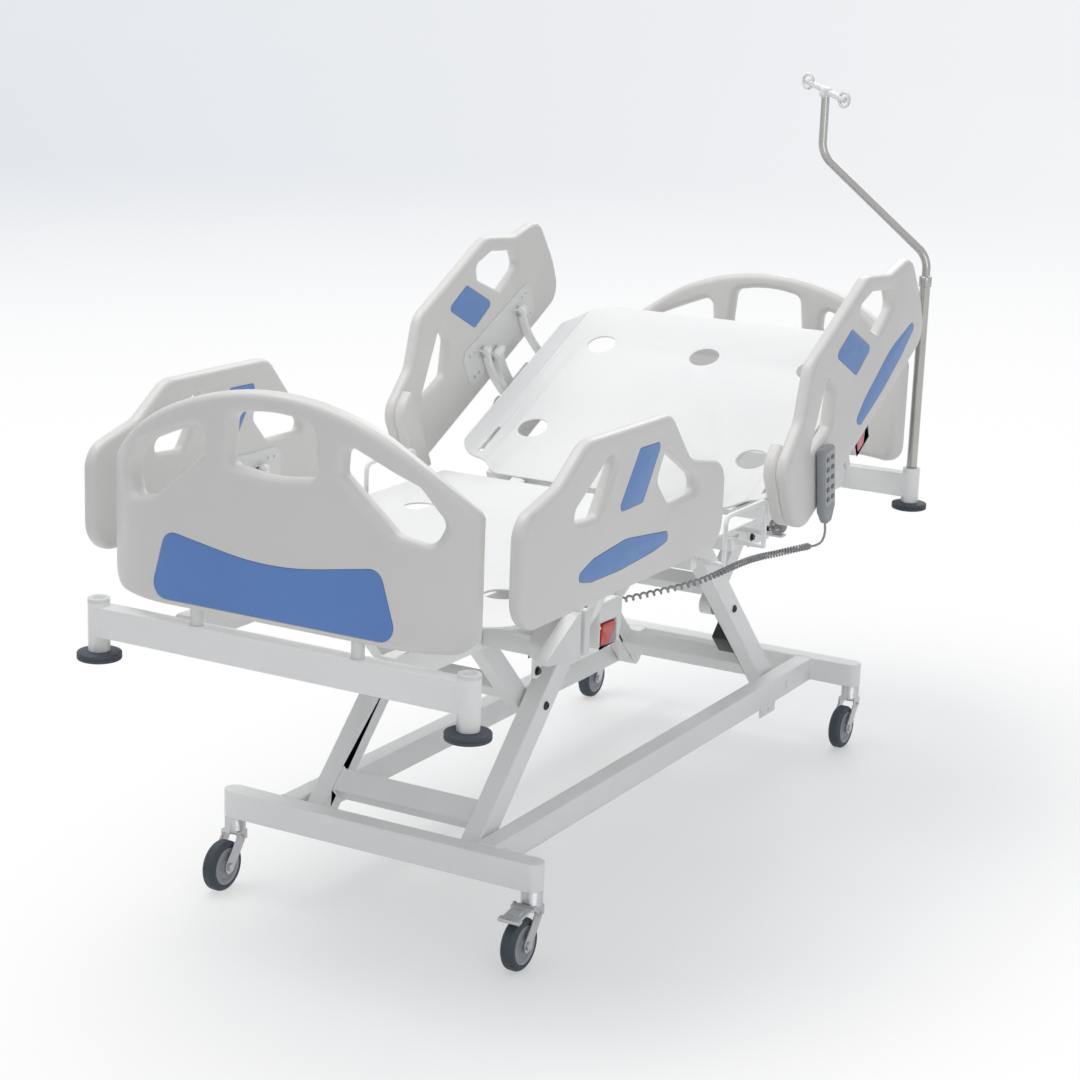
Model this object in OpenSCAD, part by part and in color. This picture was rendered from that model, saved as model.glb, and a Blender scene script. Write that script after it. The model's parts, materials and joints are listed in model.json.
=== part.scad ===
// Adjustable hospital bed with a two-legged lift, a raising backrest and leg rest,
// four swing-down side rails, lift-out end boards and an infusion pole.
// X runs across the bed, Y from the foot to the head, Z up from the floor.

/* [Castors] */
// Diameter of each castor wheel
wheel_d = 102; // [80:1:106]
// Width of each castor wheel
wheel_w = 30; // [24:1:34]
// Distance of each wheel behind its swivel axis
castor_trail = 44; // [34:1:50]
// Diameter of each swivel head
swivel_d = 42; // [38:1:43]
// Diameter of each castor stem
stem_d = 16; // [12:1:20]
// Diameter of each wheel axle
axle_d = 10; // [8:1:14]
// Thickness of the fork plates
fork_t = 4; // [3:0.5:5]
// Width of each brake pedal
pedal_w = 38; // [30:1:44]

/* [Base frame] */
// Height of the top of the base tubes
base_top = 200; // [195:1:215]
// Depth of the base tubes
base_h = 55; // [50:1:60]
// Width of the base side tubes
base_w = 40; // [30:1:44]
// Distance from the centre line to the middle of each base side tube
base_x = 225; // [222:1:235]
// Length of the two crossbars
crossbar_len = 728; // [680:1:760]
// Width of the two crossbars
crossbar_w = 44; // [40:1:50]
// Place of the foot crossbar
foot_bar_y = -682; // [-720:1:-680]
// Place of the head crossbar
head_bar_y = 866; // [840:1:900]

/* [Lift] */
// Place of the pivot of the foot-end legs
foot_pivot_y = -620; // [-630:1:-600]
// Place of the pivot of the head-end legs
head_pivot_y = 705; // [690:1:730]
// Distance from each end of a leg to its middle pivot
leg_arm = 320; // [312:1:326]
// Lean of the legs from upright
lean = 45; // [43:1:47]
// Distance from the centre line to the middle of each leg
leg_x = 178; // [176:1:180]
// Width of each leg across the bed
leg_w = 40; // [34:1:42]
// Depth of each leg
leg_d = 50; // [44:1:52]
// Distance from the centre line to the middle of each link
link_x = 134; // [132:1:136]
// Width of each link across the bed
link_w = 30; // [24:1:32]
// Depth of each link
link_d = 44; // [36:1:46]
// Diameter of the pivot bolts
bolt_d = 16; // [12:1:18]
// Diameter of the lift rollers
roller_d = 44; // [36:1:44]
// Width of the lift rollers
roller_w = 20; // [16:1:22]
// Diameter of the lift rods
lift_rod_d = 20; // [16:1:24]
// Length of each lift rod
lift_rod_len = 350; // [345:1:355]
// Diameter of the lift actuator housings
lift_case_d = 52; // [46:1:56]

/* [Upper frame] */
// Distance from the centre line to the outside of the long members
member_out = 236; // [234:1:240]
// Width of the long members
member_w = 31; // [28:1:31]
// Depth of the long members
member_h = 56; // [54:1:58]
// Wall of the long members
member_wall = 5; // [4:0.5:5]
// Distance from the middle of the bed to the end beams
beam_y = 1025; // [1015:1:1035]
// Width of the end beams along the bed
beam_w = 40; // [36:1:42]
// Depth of the end beams
beam_h = 56; // [50:1:58]
// Distance from the centre line to the corner sockets
socket_x = 398; // [390:1:404]
// Outside diameter of the corner sockets
socket_d = 41; // [38:1:46]
// Bore of the corner sockets
socket_bore = 25.2; // [25.2:0.1:30]
// Height of the top of the corner sockets
socket_top = 662; // [660:1:670]
// Length of the foot-end corner sockets
foot_socket_len = 101; // [95:1:110]
// Length of the head-end corner sockets
head_socket_len = 84; // [80:1:100]
// Diameter of the corner bumper discs
disc_d = 84; // [70:1:90]
// Thickness of the corner bumper discs
disc_t = 18; // [14:1:22]

/* [Platform] */
// Height of the top of the platform
deck_z = 700; // [698:1:706]
// Half width of the platform
deck_half = 390; // [384:1:391]
// Thickness of the platform sheets
sheet_t = 4; // [3:0.5:5]
// Place of the foot edge of the leg sheet
deck_foot_y = -893; // [-900:1:-885]
// Place of the head edge of the leg sheet
leg_sheet_y = 148; // [144:1:150]
// Diameter of the holes in the sheets
vent_d = 70; // [50:1:80]
// Place of the backrest pivot
back_pivot_y = 190; // [188:1:194]
// Place of the leg section pivot
leg_pivot_y = 128; // [124:1:130]
// Height of both section pivots
section_pivot_z = 688; // [686:1:689]
// Angle of the backrest above level
back_angle = 26; // [20:1:32]
// Length of the backrest sheet
back_len = 690; // [680:1:695]
// Height of the turned-up sides of the backrest sheet
flange_h = 28; // [20:1:34]
// Size of the square tubes under the sheets
section_tube = 25; // [22:1:25]
// Length of the actuator cranks
crank_r = 110; // [106:1:114]
// How far the leg sheet stays inside the platform's width, clear of the rail arms
arm_clear = 6; // [4:1:8]

/* [Side rails] */
// Thickness of the rail panels
rail_t = 30; // [24:1:34]
// Distance from the centre line to the inner face of the foot rails
foot_rail_x = 440; // [438:1:446]
// Distance from the centre line to the inner face of the head rails
head_rail_x = 460; // [458:1:464]
// Middle of the foot rails along the bed
foot_rail_c = -570; // [-575:1:-565]
// Middle of the head rails along the backrest
head_rail_c = 393; // [388:1:398]
// Distance of each swing arm from the middle of its rail
arm_off = 89; // [86:1:92]
// Thickness of the swing arms
arm_t = 12; // [10:1:12]
// Width of the swing arms
arm_w = 22; // [18:1:22]
// Reach of the swing arms sideways
arm_dx = 52; // [48:1:54]
// Rise of the swing arms
arm_dh = 149; // [145:1:153]
// Diameter of the rail pivot pins
rail_pin_d = 10; // [8:1:12]

/* [End boards] */
// Thickness of the end boards
board_t = 40; // [34:1:42]
// Half width of the end boards
board_half = 397; // [390:1:404]
// Height of the bottom of the end boards
board_bottom = 678; // [674:1:686]
// Height of the top of the end boards
board_top = 1092; // [1080:1:1100]
// Radius of the arched top of the end boards
arch_r = 550; // [520:1:600]
// Half width of the flat middle of the end boards
board_flat = 230; // [225:1:235]
// Radius of the wrapped ends of the end boards
board_bend_r = 222; // [215:1:230]
// Distance of each board post from the centre line
post_x = 173; // [160:1:185]
// Diameter of the board posts
post_d = 24; // [20:1:26]
// Depth of each board post in its beam
post_seat = 40; // [30:1:46]

/* [Infusion pole] */
// Diameter of the lower pole
pole_d = 25; // [22:0.5:25]
// Diameter of the upper pole
pole_top_d = 20; // [16:0.5:20]
// Height of the top of the lower pole
pole_mid_z = 1125; // [1100:1:1140]
// Height of the hook bar
hook_z = 1540; // [1500:1:1560]
// Sideways offset of the upper pole
pole_shift = 283; // [260:1:300]

/* [Handset] */
// Length of the handset
handset_len = 168; // [150:1:180]
// Width of the handset
handset_w = 62; // [50:1:66]
// Thickness of the handset
handset_t = 22; // [18:1:24]

/* [Hidden] */
$fn = 48;
fit = 0.08;                 // running fit round a pin, on the radius
gap = 0.3;                  // gap between pieces that move past each other
pivot_z = base_top - base_h / 2;
axis_z = pivot_z + 2 * leg_arm * cos(lean);
member_in = member_out - member_w;
track_h = member_h - 2 * member_wall;
beam_z = board_bottom - 30 - beam_h;
sheet_low = deck_z - sheet_t;
tube_low = sheet_low - section_tube;
tube_x = member_out - 3 - section_tube;
castor_x = crossbar_len / 2 - crossbar_w / 2;
crown_z = wheel_d + 8;
hinge_bar = [138, 172];
hinge_bar_top = tube_low + 8;
// Seam of the backrest sheet, seen from its pivot
seam = [8, deck_z - section_pivot_z - 2.5];
cover_foot = [-150, 110];
link_off = -45;
release_y = [-21, 38];
cover_gap = 24;
cover_front = -238;
arm_gap = 16;               // from the upper rail pivots to the panel
arm_low = -45;              // height of the lower rail pivots from the sheet
link_drop = 32;             // drop of the middle link below the arms

// ---- shared shapes ----

// Points of a polygon whose corners [x, y, r] are rounded
function soft(p, n = 6) = [for (i = [0:len(p) - 1])
  each bend2([p[(i + len(p) - 1) % len(p)][0], p[(i + len(p) - 1) % len(p)][1]],
             [p[i][0], p[i][1]],
             [p[(i + 1) % len(p)][0], p[(i + 1) % len(p)][1]], p[i][2], n)];
function bend2(a, b, c, r, n) = r == 0 ? [b] :
  let (u = (a - b) / norm(a - b), v = (c - b) / norm(c - b),
       half = acos(u * v) / 2, t = r / tan(half),
       o = b + (u + v) / norm(u + v) * (r / sin(half)),
       s = b + u * t - o, e = b + v * t - o,
       a0 = atan2(s[1], s[0]), d = ((atan2(e[1], e[0]) - a0 + 540) % 360) - 180)
  [for (k = [0:n]) o + r * [cos(a0 + d * k / n), sin(a0 + d * k / n)]];
function shift2(p, d) = [for (q = p) [q[0] + d[0], q[1] + d[1], q[2]]];

// Box between two corners
module box(x, y, z) {
  translate([min(x[0], x[1]), min(y[0], y[1]), min(z[0], z[1])])
    cube([abs(x[1] - x[0]), abs(y[1] - y[0]), abs(z[1] - z[0])]);
}
// A shape and its mirror image across the centre line
module both() {
  children();
  mirror([1, 0, 0]) children();
}
// Round bar along X
module rod_x(x0, x1, y, z, r) {
  translate([min(x0, x1), y, z]) rotate([0, 90, 0]) cylinder(h = abs(x1 - x0), r = r);
}
// Round bar along Y
module rod_y(x, y0, y1, z, r) {
  translate([x, max(y0, y1), z]) rotate([90, 0, 0]) cylinder(h = abs(y1 - y0), r = r);
}
// Round upright bar
module rod_z(x, y, z0, z1, r) {
  translate([x, y, min(z0, z1)]) cylinder(h = abs(z1 - z0), r = r);
}
// Flat bar with round ends between two [y, z] points, between two values of x
module bar_yz(x, p, q, w) {
  len_pq = norm(q - p);
  translate([min(x), p[0], p[1]])
    rotate([atan2(q[1] - p[1], q[0] - p[0]), 0, 0])
      union() {
        translate([0, 0, -w / 2]) cube([abs(x[1] - x[0]), len_pq, w]);
        rotate([0, 90, 0]) cylinder(h = abs(x[1] - x[0]), r = w / 2);
        translate([0, len_pq, 0]) rotate([0, 90, 0]) cylinder(h = abs(x[1] - x[0]), r = w / 2);
      }
}
// Outline [y, z] thickened across the bed between two values of x
module slab_yz(x, p) {
  translate([min(x), 0, 0]) rotate([90, 0, 90])
    linear_extrude(height = abs(x[1] - x[0])) polygon(p);
}
// Outline [x, z] thickened along the bed between two values of y
module slab_xz(y, p) {
  translate([0, max(y), 0]) rotate([90, 0, 0])
    linear_extrude(height = abs(y[1] - y[0])) polygon(p);
}
// Round tube through plane points, with bends of radius b
function turn(p, i) = let (a = p[i] - p[i - 1], c = p[i + 1] - p[i],
  d = atan2(c[1], c[0]) - atan2(a[1], a[0])) ((d + 540) % 360) - 180;
function cut_back(p, i, b) = (i < 1 || i > len(p) - 2) ? 0 : b * tan(abs(turn(p, i)) / 2);
module bent_tube(p, r, b) {
  for (i = [0:len(p) - 2]) {
    d = p[i + 1] - p[i];
    a0 = cut_back(p, i, b) - (i > 0 ? 1 : 0);
    a1 = cut_back(p, i + 1, b) - (i < len(p) - 2 ? 1 : 0);
    translate([p[i][0], p[i][1], 0]) rotate([0, 0, atan2(d[1], d[0])])
      translate([a0, 0, 0]) rotate([0, 90, 0]) cylinder(h = norm(d) - a0 - a1, r = r);
  }
  for (i = [1:1:len(p) - 2]) {
    u = (p[i] - p[i - 1]) / norm(p[i] - p[i - 1]);
    t = turn(p, i);
    side = sign(t);
    s = p[i] - u * cut_back(p, i, b);
    c = s + [-u[1], u[0]] * side * b;
    a = atan2(s[1] - c[1], s[0] - c[0]);
    translate([c[0], c[1], 0]) rotate([0, 0, t > 0 ? a : a + t])
      rotate_extrude(angle = abs(t)) translate([b, 0]) circle(r = r * 1.04);
  }
}
// Cord: a tube of n sides swept along points by one polyhedron
function unit(v) = v / norm(v);
function along(p, i) = unit(p[min(i + 1, len(p) - 1)] - p[max(i - 1, 0)]);
function sideways(t) = unit(cross(t, abs(t[2]) > 0.9 ? [1, 0, 0] : [0, 0, 1]));
function spline(p, m) = [for (i = [0:len(p) - 2]) each [for (k = [0:m - 1])
  let (a = p[max(i - 1, 0)], b = p[i], c = p[i + 1], d = p[min(i + 2, len(p) - 1)], t = k / m)
  0.5 * (2 * b + (c - a) * t + (2 * a - 5 * b + 4 * c - d) * t * t
    + (3 * b - a - 3 * c + d) * t * t * t)], p[len(p) - 1]];
function frames(p, i = 0, s = undef) = let (t = along(p, i),
  s0 = s == undef ? sideways(t) : unit(s - (s * t) * t))
  i == len(p) - 1 ? [[t, s0]] : concat([[t, s0]], frames(p, i + 1, s0));
module cord_tube(route, r, m = 4, n = 10) {
  p = spline(route, m);
  f = frames(p);
  pts = [for (i = [0:len(p) - 1]) each [for (k = [0:n - 1])
    p[i] + r * (cos(360 * k / n) * f[i][1] + sin(360 * k / n) * cross(f[i][0], f[i][1]))]];
  walls = [for (i = [0:len(p) - 2]) each [for (k = [0:n - 1])
    [i * n + k, i * n + (k + 1) % n, (i + 1) * n + (k + 1) % n, (i + 1) * n + k]]];
  ends = [[for (k = [n - 1:-1:0]) k], [for (k = [0:n - 1]) (len(p) - 1) * n + k]];
  polyhedron(points = pts, faces = [for (w = concat(walls, ends)) [for (q = [len(w) - 1:-1:0]) w[q]]],
    convexity = 4);
}

// ---- places ----

module at_castor(side, head) {
  translate([side * castor_x, head ? head_bar_y : foot_bar_y, 0]) children();
}
// A leg leans from its base pivot towards the middle of the bed
module leg_place(head) {
  if (head) translate([0, head_pivot_y, pivot_z]) rotate([lean, 0, 0]) children();
  else translate([0, foot_pivot_y, pivot_z]) rotate([-lean, 0, 0]) children();
}
module link_place(head) {
  d = leg_arm * sin(lean);
  if (head) translate([0, head_pivot_y - d, pivot_z + leg_arm * cos(lean)]) rotate([-lean, 0, 0]) children();
  else translate([0, foot_pivot_y + d, pivot_z + leg_arm * cos(lean)]) rotate([lean, 0, 0]) children();
}
// End of the bed at its lift pivot, with +Y towards the middle of the bed
module lift_place(head) {
  if (head) translate([0, head_pivot_y, axis_z]) mirror([0, 1, 0]) children();
  else translate([0, foot_pivot_y, axis_z]) children();
}
carriage_y = 2 * leg_arm * sin(lean);
// Backrest frame of reference: its seam line at the origin, Y up the backrest
module on_back() {
  translate([0, back_pivot_y, section_pivot_z]) rotate([back_angle, 0, 0])
    translate([0, seam[0], seam[1]]) children();
}
module on_deck() {
  translate([0, 0, deck_z]) children();
}
module rail_place(head, side) {
  if (head) on_back() translate([0, head_rail_c, 0]) mirror([side < 0 ? 1 : 0, 0, 0]) children();
  else on_deck() translate([0, foot_rail_c, 0]) mirror([side < 0 ? 1 : 0, 0, 0]) children();
}
function rail_x(head) = head ? head_rail_x : foot_rail_x;

// ---- base ----

module base_frame() {
  color("gainsboro") difference() {
    union() {
      for (y = [foot_bar_y, head_bar_y]) {
        box([-castor_x, castor_x], [y - crossbar_w / 2, y + crossbar_w / 2], [base_top - base_h, base_top]);
        both() rod_z(castor_x, y, base_top - base_h, base_top, crossbar_w / 2);
      }
      both() box([base_x - base_w / 2, base_x + base_w / 2],
        [foot_bar_y + crossbar_w / 2, head_bar_y - crossbar_w / 2], [base_top - base_h, base_top]);
      // brackets hung from the side tubes
      both() difference() {
        box([base_x + base_w / 2 - 6, base_x + base_w / 2], [560, 640],
          [base_top - base_h - 22, base_top - base_h]);
        rod_x(0, 300, 600, base_top - base_h - 11, 5);
      }
    }
    both() for (y = [foot_pivot_y, head_pivot_y])
      rod_x(base_x - base_w / 2 - 1, base_x + base_w / 2 + 1, y, pivot_z, bolt_d / 2);
    both() for (y = [foot_bar_y, head_bar_y])
      rod_z(castor_x, y, base_top - base_h - 1, base_top - base_h + 42, stem_d / 2 + fit);
  }
}

module base_pivot_pins() {
  color("silver") for (y = [foot_pivot_y, head_pivot_y]) both() {
    rod_x(leg_x - leg_w / 2 - 2, base_x + base_w / 2 + 3, y, pivot_z, bolt_d / 2);
    rod_x(base_x + base_w / 2, base_x + base_w / 2 + 6, y, pivot_z, bolt_d / 2 + 4);
  }
}

// Fork of a castor, with its swivel head, stem and axle
module castor_fork() {
  plate_x = wheel_w / 2 + 2;
  color("silver") union() {
    rod_z(0, 0, crown_z, base_top - base_h - gap, swivel_d / 2);
    rod_z(0, 0, base_top - base_h - gap - 1, base_top - base_h + 40, stem_d / 2);
    difference() {
      box([-plate_x - fork_t, plate_x + fork_t], [-castor_trail * 0.45, swivel_d * 0.3],
        [crown_z - 14, crown_z + 6]);
      box([-plate_x, plate_x], [-castor_trail, swivel_d], [crown_z - 15, crown_z]);
    }
    both() bar_yz([plate_x + 0.4, plate_x + fork_t - 0.4], [-castor_trail * 0.2, crown_z - 12],
      [-castor_trail, wheel_d / 2], 27);
    rod_x(-plate_x - fork_t - 4, plate_x + fork_t + 4, -castor_trail, wheel_d / 2, axle_d / 2);
    both() rod_x(plate_x + fork_t, plate_x + fork_t + 4, -castor_trail, wheel_d / 2, axle_d / 2 + 3);
    both() rod_x(plate_x + fork_t - 1, plate_x + fork_t + 5, -6, crown_z - 6, 3);
  }
}

// Wheel of a castor: rounded tyre, sunk hub faces and a bore
module castor_wheel() {
  half = wheel_w / 2;
  edge = 9;
  hub_r = wheel_d * 0.34;
  color("darkslategray") translate([0, -castor_trail, wheel_d / 2]) rotate([0, 90, 0])
    rotate_extrude($fn = 72) polygon(soft([
      [axle_d / 2 + fit, -half, 0], [hub_r - 12, -half, 0], [hub_r - 8, -half + 4, 0], [hub_r, -half + 4, 0],
      [hub_r + 2, -half + 1, 0], [wheel_d / 2, -half + 1, edge], [wheel_d / 2, half - 1, edge],
      [hub_r + 2, half - 1, 0], [hub_r, half - 4, 0], [hub_r - 8, half - 4, 0], [hub_r - 12, half, 0],
      [axle_d / 2 + fit, half, 0]]));
}

// Brake pedal on a castor: a foot plate behind the fork that tips down about two pivot pins
pedal_pivot = [-6, crown_z - 6];
pedal_root = [-26, crown_z + 9];
pedal_tip = [-84, crown_z - 1];
pedal_run = (pedal_tip - pedal_root) / norm(pedal_tip - pedal_root);
pedal_side = [wheel_w / 2 + fork_t + 2 + gap, wheel_w / 2 + fork_t + 5.5];
module brake_pedal() {
  color("silver") difference() {
    union() {
      bar_yz([-pedal_w / 2, pedal_w / 2], pedal_root, pedal_tip, 5);
      bar_yz([-pedal_side[1] + 0.5, pedal_side[1] - 0.5], pedal_root, pedal_root + 9 * pedal_run, 6);
      bar_yz([-pedal_w / 2 - 3, pedal_w / 2 + 3], pedal_tip - 8 * pedal_run, pedal_tip, 8);
      both() bar_yz(pedal_side, pedal_pivot, pedal_root, 11);
    }
    both() rod_x(pedal_side[0] - 1, pedal_side[1] + 1, pedal_pivot[0], pedal_pivot[1], 3 + fit);
  }
}

// ---- lift ----

// Pair of legs joined by a cross tube, with the middle pivot studs
module leg_frame() {
  difference() {
    union() {
      both() bar_x(leg_x, leg_w, leg_d, 2 * leg_arm);
      box([-leg_x, leg_x], [-leg_d / 2 + 5, leg_d / 2 - 5], [38, 88]);
      both() rod_x(link_x - link_w / 2 - 2, leg_x, 0, leg_arm, bolt_d / 2);
    }
    both() rod_x(leg_x - leg_w / 2 - 1, leg_x + leg_w / 2 + 1, 0, 0, bolt_d / 2 + fit);
    rod_x(-leg_x - leg_w, leg_x + leg_w, 0, 2 * leg_arm, lift_rod_d / 2 + fit);
  }
}
// Upright bar with round ends, centred at x
module bar_x(x, w, d, h) {
  box([x - w / 2, x + w / 2], [-d / 2, d / 2], [0, h]);
  rod_x(x - w / 2, x + w / 2, 0, 0, d / 2);
  rod_x(x - w / 2, x + w / 2, 0, h, d / 2);
}
module front_leg_frame() {
  color("gainsboro") leg_place(false) leg_frame();
}
// The head-end legs carry a junction box on the inside of the near leg
module rear_leg_frame() {
  color("gainsboro") leg_place(true) {
    leg_frame();
    box([leg_x - leg_w / 2 - 42, leg_x - leg_w / 2], [-22, 22], [leg_arm - 175, leg_arm - 115]);
  }
}

// Pair of links joined by a cross tube, from the middle pivots up to the frame
module link_frame() {
  difference() {
    union() {
      both() bar_x(link_x, link_w, link_d, leg_arm);
      box([-link_x, link_x], [-link_d / 2 + 4, link_d / 2 - 4], [30, 68]);
    }
    both() for (z = [0, leg_arm])
      rod_x(link_x - link_w, link_x + link_w, 0, z, bolt_d / 2 + fit);
  }
}
module front_link_frame() {
  color("gainsboro") link_place(false) link_frame();
}
module rear_link_frame() {
  color("gainsboro") link_place(true) link_frame();
}

// Carriage at the tops of a pair of legs: shaft, rollers and lift rod
module carriage() {
  color("silver") translate([0, carriage_y, 0]) {
    rod_x(-member_out + member_wall + 2, member_out - member_wall - 2, 0, 0, lift_rod_d / 2);
    both() rod_x(member_in + 3, member_in + 3 + roller_w, 0, 0, roller_d / 2);
    box([-22, 22], [-20, 20], [-19, 19]);
    rod_y(0, -lift_rod_len, 0, 0, lift_rod_d / 2);
  }
}
module front_carriage() {
  lift_place(false) carriage();
}
module rear_carriage() {
  lift_place(true) carriage();
}

// ---- upper frame ----

module upper_frame() {
  color("gainsboro") {
    difference() {
      union() {
        both() box([member_in, member_out], [-beam_y + beam_w / 2, beam_y - beam_w / 2],
          [axis_z - member_h / 2, axis_z + member_h / 2]);
        for (head = [false, true]) lift_place(head) {
          box([-member_in - 2, member_in + 2], [-80, -40], [-track_h / 2, track_h / 2]);
          both() for (x = [link_x - link_w / 2 - 1 - 8, link_x + link_w / 2 + 1])
            union() {
              box([x, x + 8], [-60, 0], [-17, 17]);
              rod_x(x, x + 8, 0, 0, 17);
            }
        }
        // hinge bar between the sections
        box([-300, 300], hinge_bar, [hinge_bar_top - 16, hinge_bar_top]);
        both() box([member_in, member_out], hinge_bar, [axis_z + member_h / 2 - 1, hinge_bar_top - 16]);
        both() for (y = [leg_pivot_y, back_pivot_y]) rod_x(tube_x - 10, tube_x - 1, y, section_pivot_z, 7.5);
        both() box([tube_x - 10, tube_x - 1], [leg_pivot_y - 7.5, back_pivot_y + 7.5],
          [axis_z + member_h / 2 - 1, section_pivot_z - 6]);
        both() for (y = [leg_pivot_y, back_pivot_y])
          box([tube_x - 10, tube_x - 1], [y - 5, y + 5], [section_pivot_z - 7, section_pivot_z]);
        // parking bracket of the mains plug
        box([member_out - 1, plug_at[0] + 12], [plug_at[1] - 36, plug_at[1] - 14],
          [plug_at[2] - 25.3, plug_at[2] - 19.3]);
        // rests for the sections
        both() for (y = [-860, -320])
          box([tube_x, tube_x + section_tube], [y, y + 30], [axis_z + member_h / 2, tube_low - gap]);
        both() box([tube_x, tube_x + section_tube], [740, 770],
          [axis_z + member_h / 2, section_pivot_z + seam[1] - sheet_t - section_tube - gap]);
        // wire retainers for the mattress
        wire_loop([-80, 112], 14);
        mirror([1, 0, 0]) wire_loop([-110, 82], 8);
      }
      // roller tracks, open to the inside
      for (head = [false, true]) lift_place(head)
        both() box([member_in - 1, member_out - member_wall], [290, 640], [-track_h / 2, track_h / 2]);
      for (head = [false, true]) lift_place(head) both()
        rod_x(link_x - link_w, link_x + link_w, 0, 0, bolt_d / 2);
      both() for (y = [leg_pivot_y, back_pivot_y]) rod_x(tube_x - 12, tube_x, y, section_pivot_z, 5);
    }
  }
}

// Wire retainer beside the platform: a hoop on two outriggers
module wire_loop(y, w) {
  x = 421;
  z = [655, deck_z + 53];
  translate([x, 0, 0]) rotate([90, 0, 90])
    bent_tube([[y[0], z[0]], [y[0], z[1]], [y[1], z[1]], [y[1], z[0]]], 5, 18);
  for (q = y) {
    rod_x(350, x, q, z[0], 5);
    translate([x, q, z[0]]) sphere(r = 5);
    box([member_out - 1, 356], [q - w, q + w], [z[0] - 20, z[0] + 6]);
  }
}

module end_beams() {
  color("gainsboro") for (s = [-1, 1]) difference() {
    union() {
      box([-socket_x, socket_x], [s * beam_y - beam_w / 2, s * beam_y + beam_w / 2],
        [beam_z, beam_z + beam_h]);
      both() rod_z(socket_x, s * beam_y, socket_top - socket_len(s), socket_top, socket_d / 2);
      both() rod_z(post_x, s * beam_y, beam_z - 4, beam_z, 9);
    }
    both() rod_z(socket_x, s * beam_y, socket_top - socket_len(s) + 12, socket_top + 1, socket_bore / 2);
    both() rod_z(post_x, s * beam_y, beam_z + beam_h - post_seat - 0.5, beam_z + beam_h + 1,
      post_d / 2 + fit);
  }
}
function socket_len(s) = s < 0 ? foot_socket_len : head_socket_len;

module bumper_discs() {
  color("darkslategray") for (s = [-1, 1]) both()
    translate([socket_x, s * beam_y, socket_top - socket_len(s)]) rotate([180, 0, 0])
      rotate_extrude($fn = 72)
        polygon(soft([[0, 0, 0], [disc_d / 2, 0, 5], [disc_d / 2, disc_t, 5], [0, disc_t, 0]]));
}

// Bolts of the lift links and of the two platform sections
module frame_pins() {
  color("silver") {
    for (head = [false, true]) lift_place(head) both()
      rod_x(link_x - link_w / 2 - 11, link_x + link_w / 2 + 11, 0, 0, bolt_d / 2);
    both() for (y = [leg_pivot_y, back_pivot_y])
      rod_x(tube_x - 12, tube_x + section_tube + 2, y, section_pivot_z, 5);
  }
}

module lift_actuators() {
  color("lightgray") for (head = [false, true]) lift_place(head) difference() {
    union() {
      rod_y(0, -40, 290, 0, lift_case_d / 2);
      box([-30, 30], [-40, 40], [-lift_case_d / 2, lift_case_d / 2]);
      if (head) rod_x(29, gland_at[0], 0, gland_at[2] - axis_z, 9);
    }
    rod_y(0, -34, 291, 0, lift_rod_d / 2 + fit);
  }
}

module control_box() {
  color("gray") difference() {
    box([member_in - 3, member_in + 57], [-400, -280], [axis_z - member_h / 2 - 52, axis_z - member_h / 2]);
    rod_y(232, -300, -279, 575, 6);
  }
}

// ---- end boards ----

arch_end = asin(board_half / arch_r) - 0.6;
function board_points() = concat(
  bend2([-board_half, board_bottom + 200], [-board_half, board_bottom], [0, board_bottom], 45, 6),
  bend2([0, board_bottom], [board_half, board_bottom], [board_half, board_bottom + 200], 45, 6),
  [[board_half, board_top - arch_r * (1 - cos(arch_end)) - 10]],
  [for (k = [13:-1:-13]) arch_r * [sin(arch_end * k / 13), cos(arch_end * k / 13) - 1] + [0, board_top]],
  [[-board_half, board_top - arch_r * (1 - cos(arch_end)) - 10]]);
hand_mid = [[-95, 955, 20], [-86, 1046, 22], [0, 1062, 300], [86, 1046, 22], [95, 955, 20], [0, 943, 300]];
hand_side = [[144, 970, 12], [148, 1024, 18], [296, 966, 30], [344, 905, 26], [322, 864, 24], [256, 878, 40]];
board_inlay = [[-266, 690, 28], [-228, 820, 26], [0, 782, 600], [228, 820, 26], [266, 690, 28]];

// End board: flat middle, ends wrapped towards +Y, three hand holes and a sunk inlay
module board() {
  color("gainsboro") union() {
    difference() {
      intersection() {
        union() {
          box([-board_flat, board_flat], [-board_t / 2, board_t / 2], [board_bottom, board_top]);
          both() intersection() {
            translate([board_flat, board_bend_r, board_bottom]) difference() {
              cylinder(h = board_top - board_bottom, r = board_bend_r + board_t / 2, $fn = 96);
              translate([0, 0, -1])
                cylinder(h = board_top - board_bottom + 2, r = board_bend_r - board_t / 2, $fn = 96);
            }
            box([board_flat, board_half], [-board_t, board_bend_r * 0.6], [board_bottom, board_top]);
          }
        }
        slab_xz([-board_t, board_bend_r], board_points());
      }
      slab_xz([-60, 160], soft(hand_mid));
      both() slab_xz([-60, 160], soft(hand_side));
      slab_xz([-board_t / 2 - 1, -board_t / 2 + 2], soft(board_inlay));
      both() rod_z(post_x, 0, board_bottom - 1, board_bottom + 30, post_d / 2);
    }
  }
  color("steelblue") slab_xz([-board_t / 2, -board_t / 2 + 2], soft(board_inlay));
  color("silver") both() rod_z(post_x, 0, beam_z + beam_h - post_seat, board_bottom + 30, post_d / 2);
}
module footboard() {
  translate([0, -beam_y, 0]) board();
}
module headboard() {
  translate([0, beam_y, 0]) mirror([0, 1, 0]) board();
}

// ---- platform ----

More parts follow.
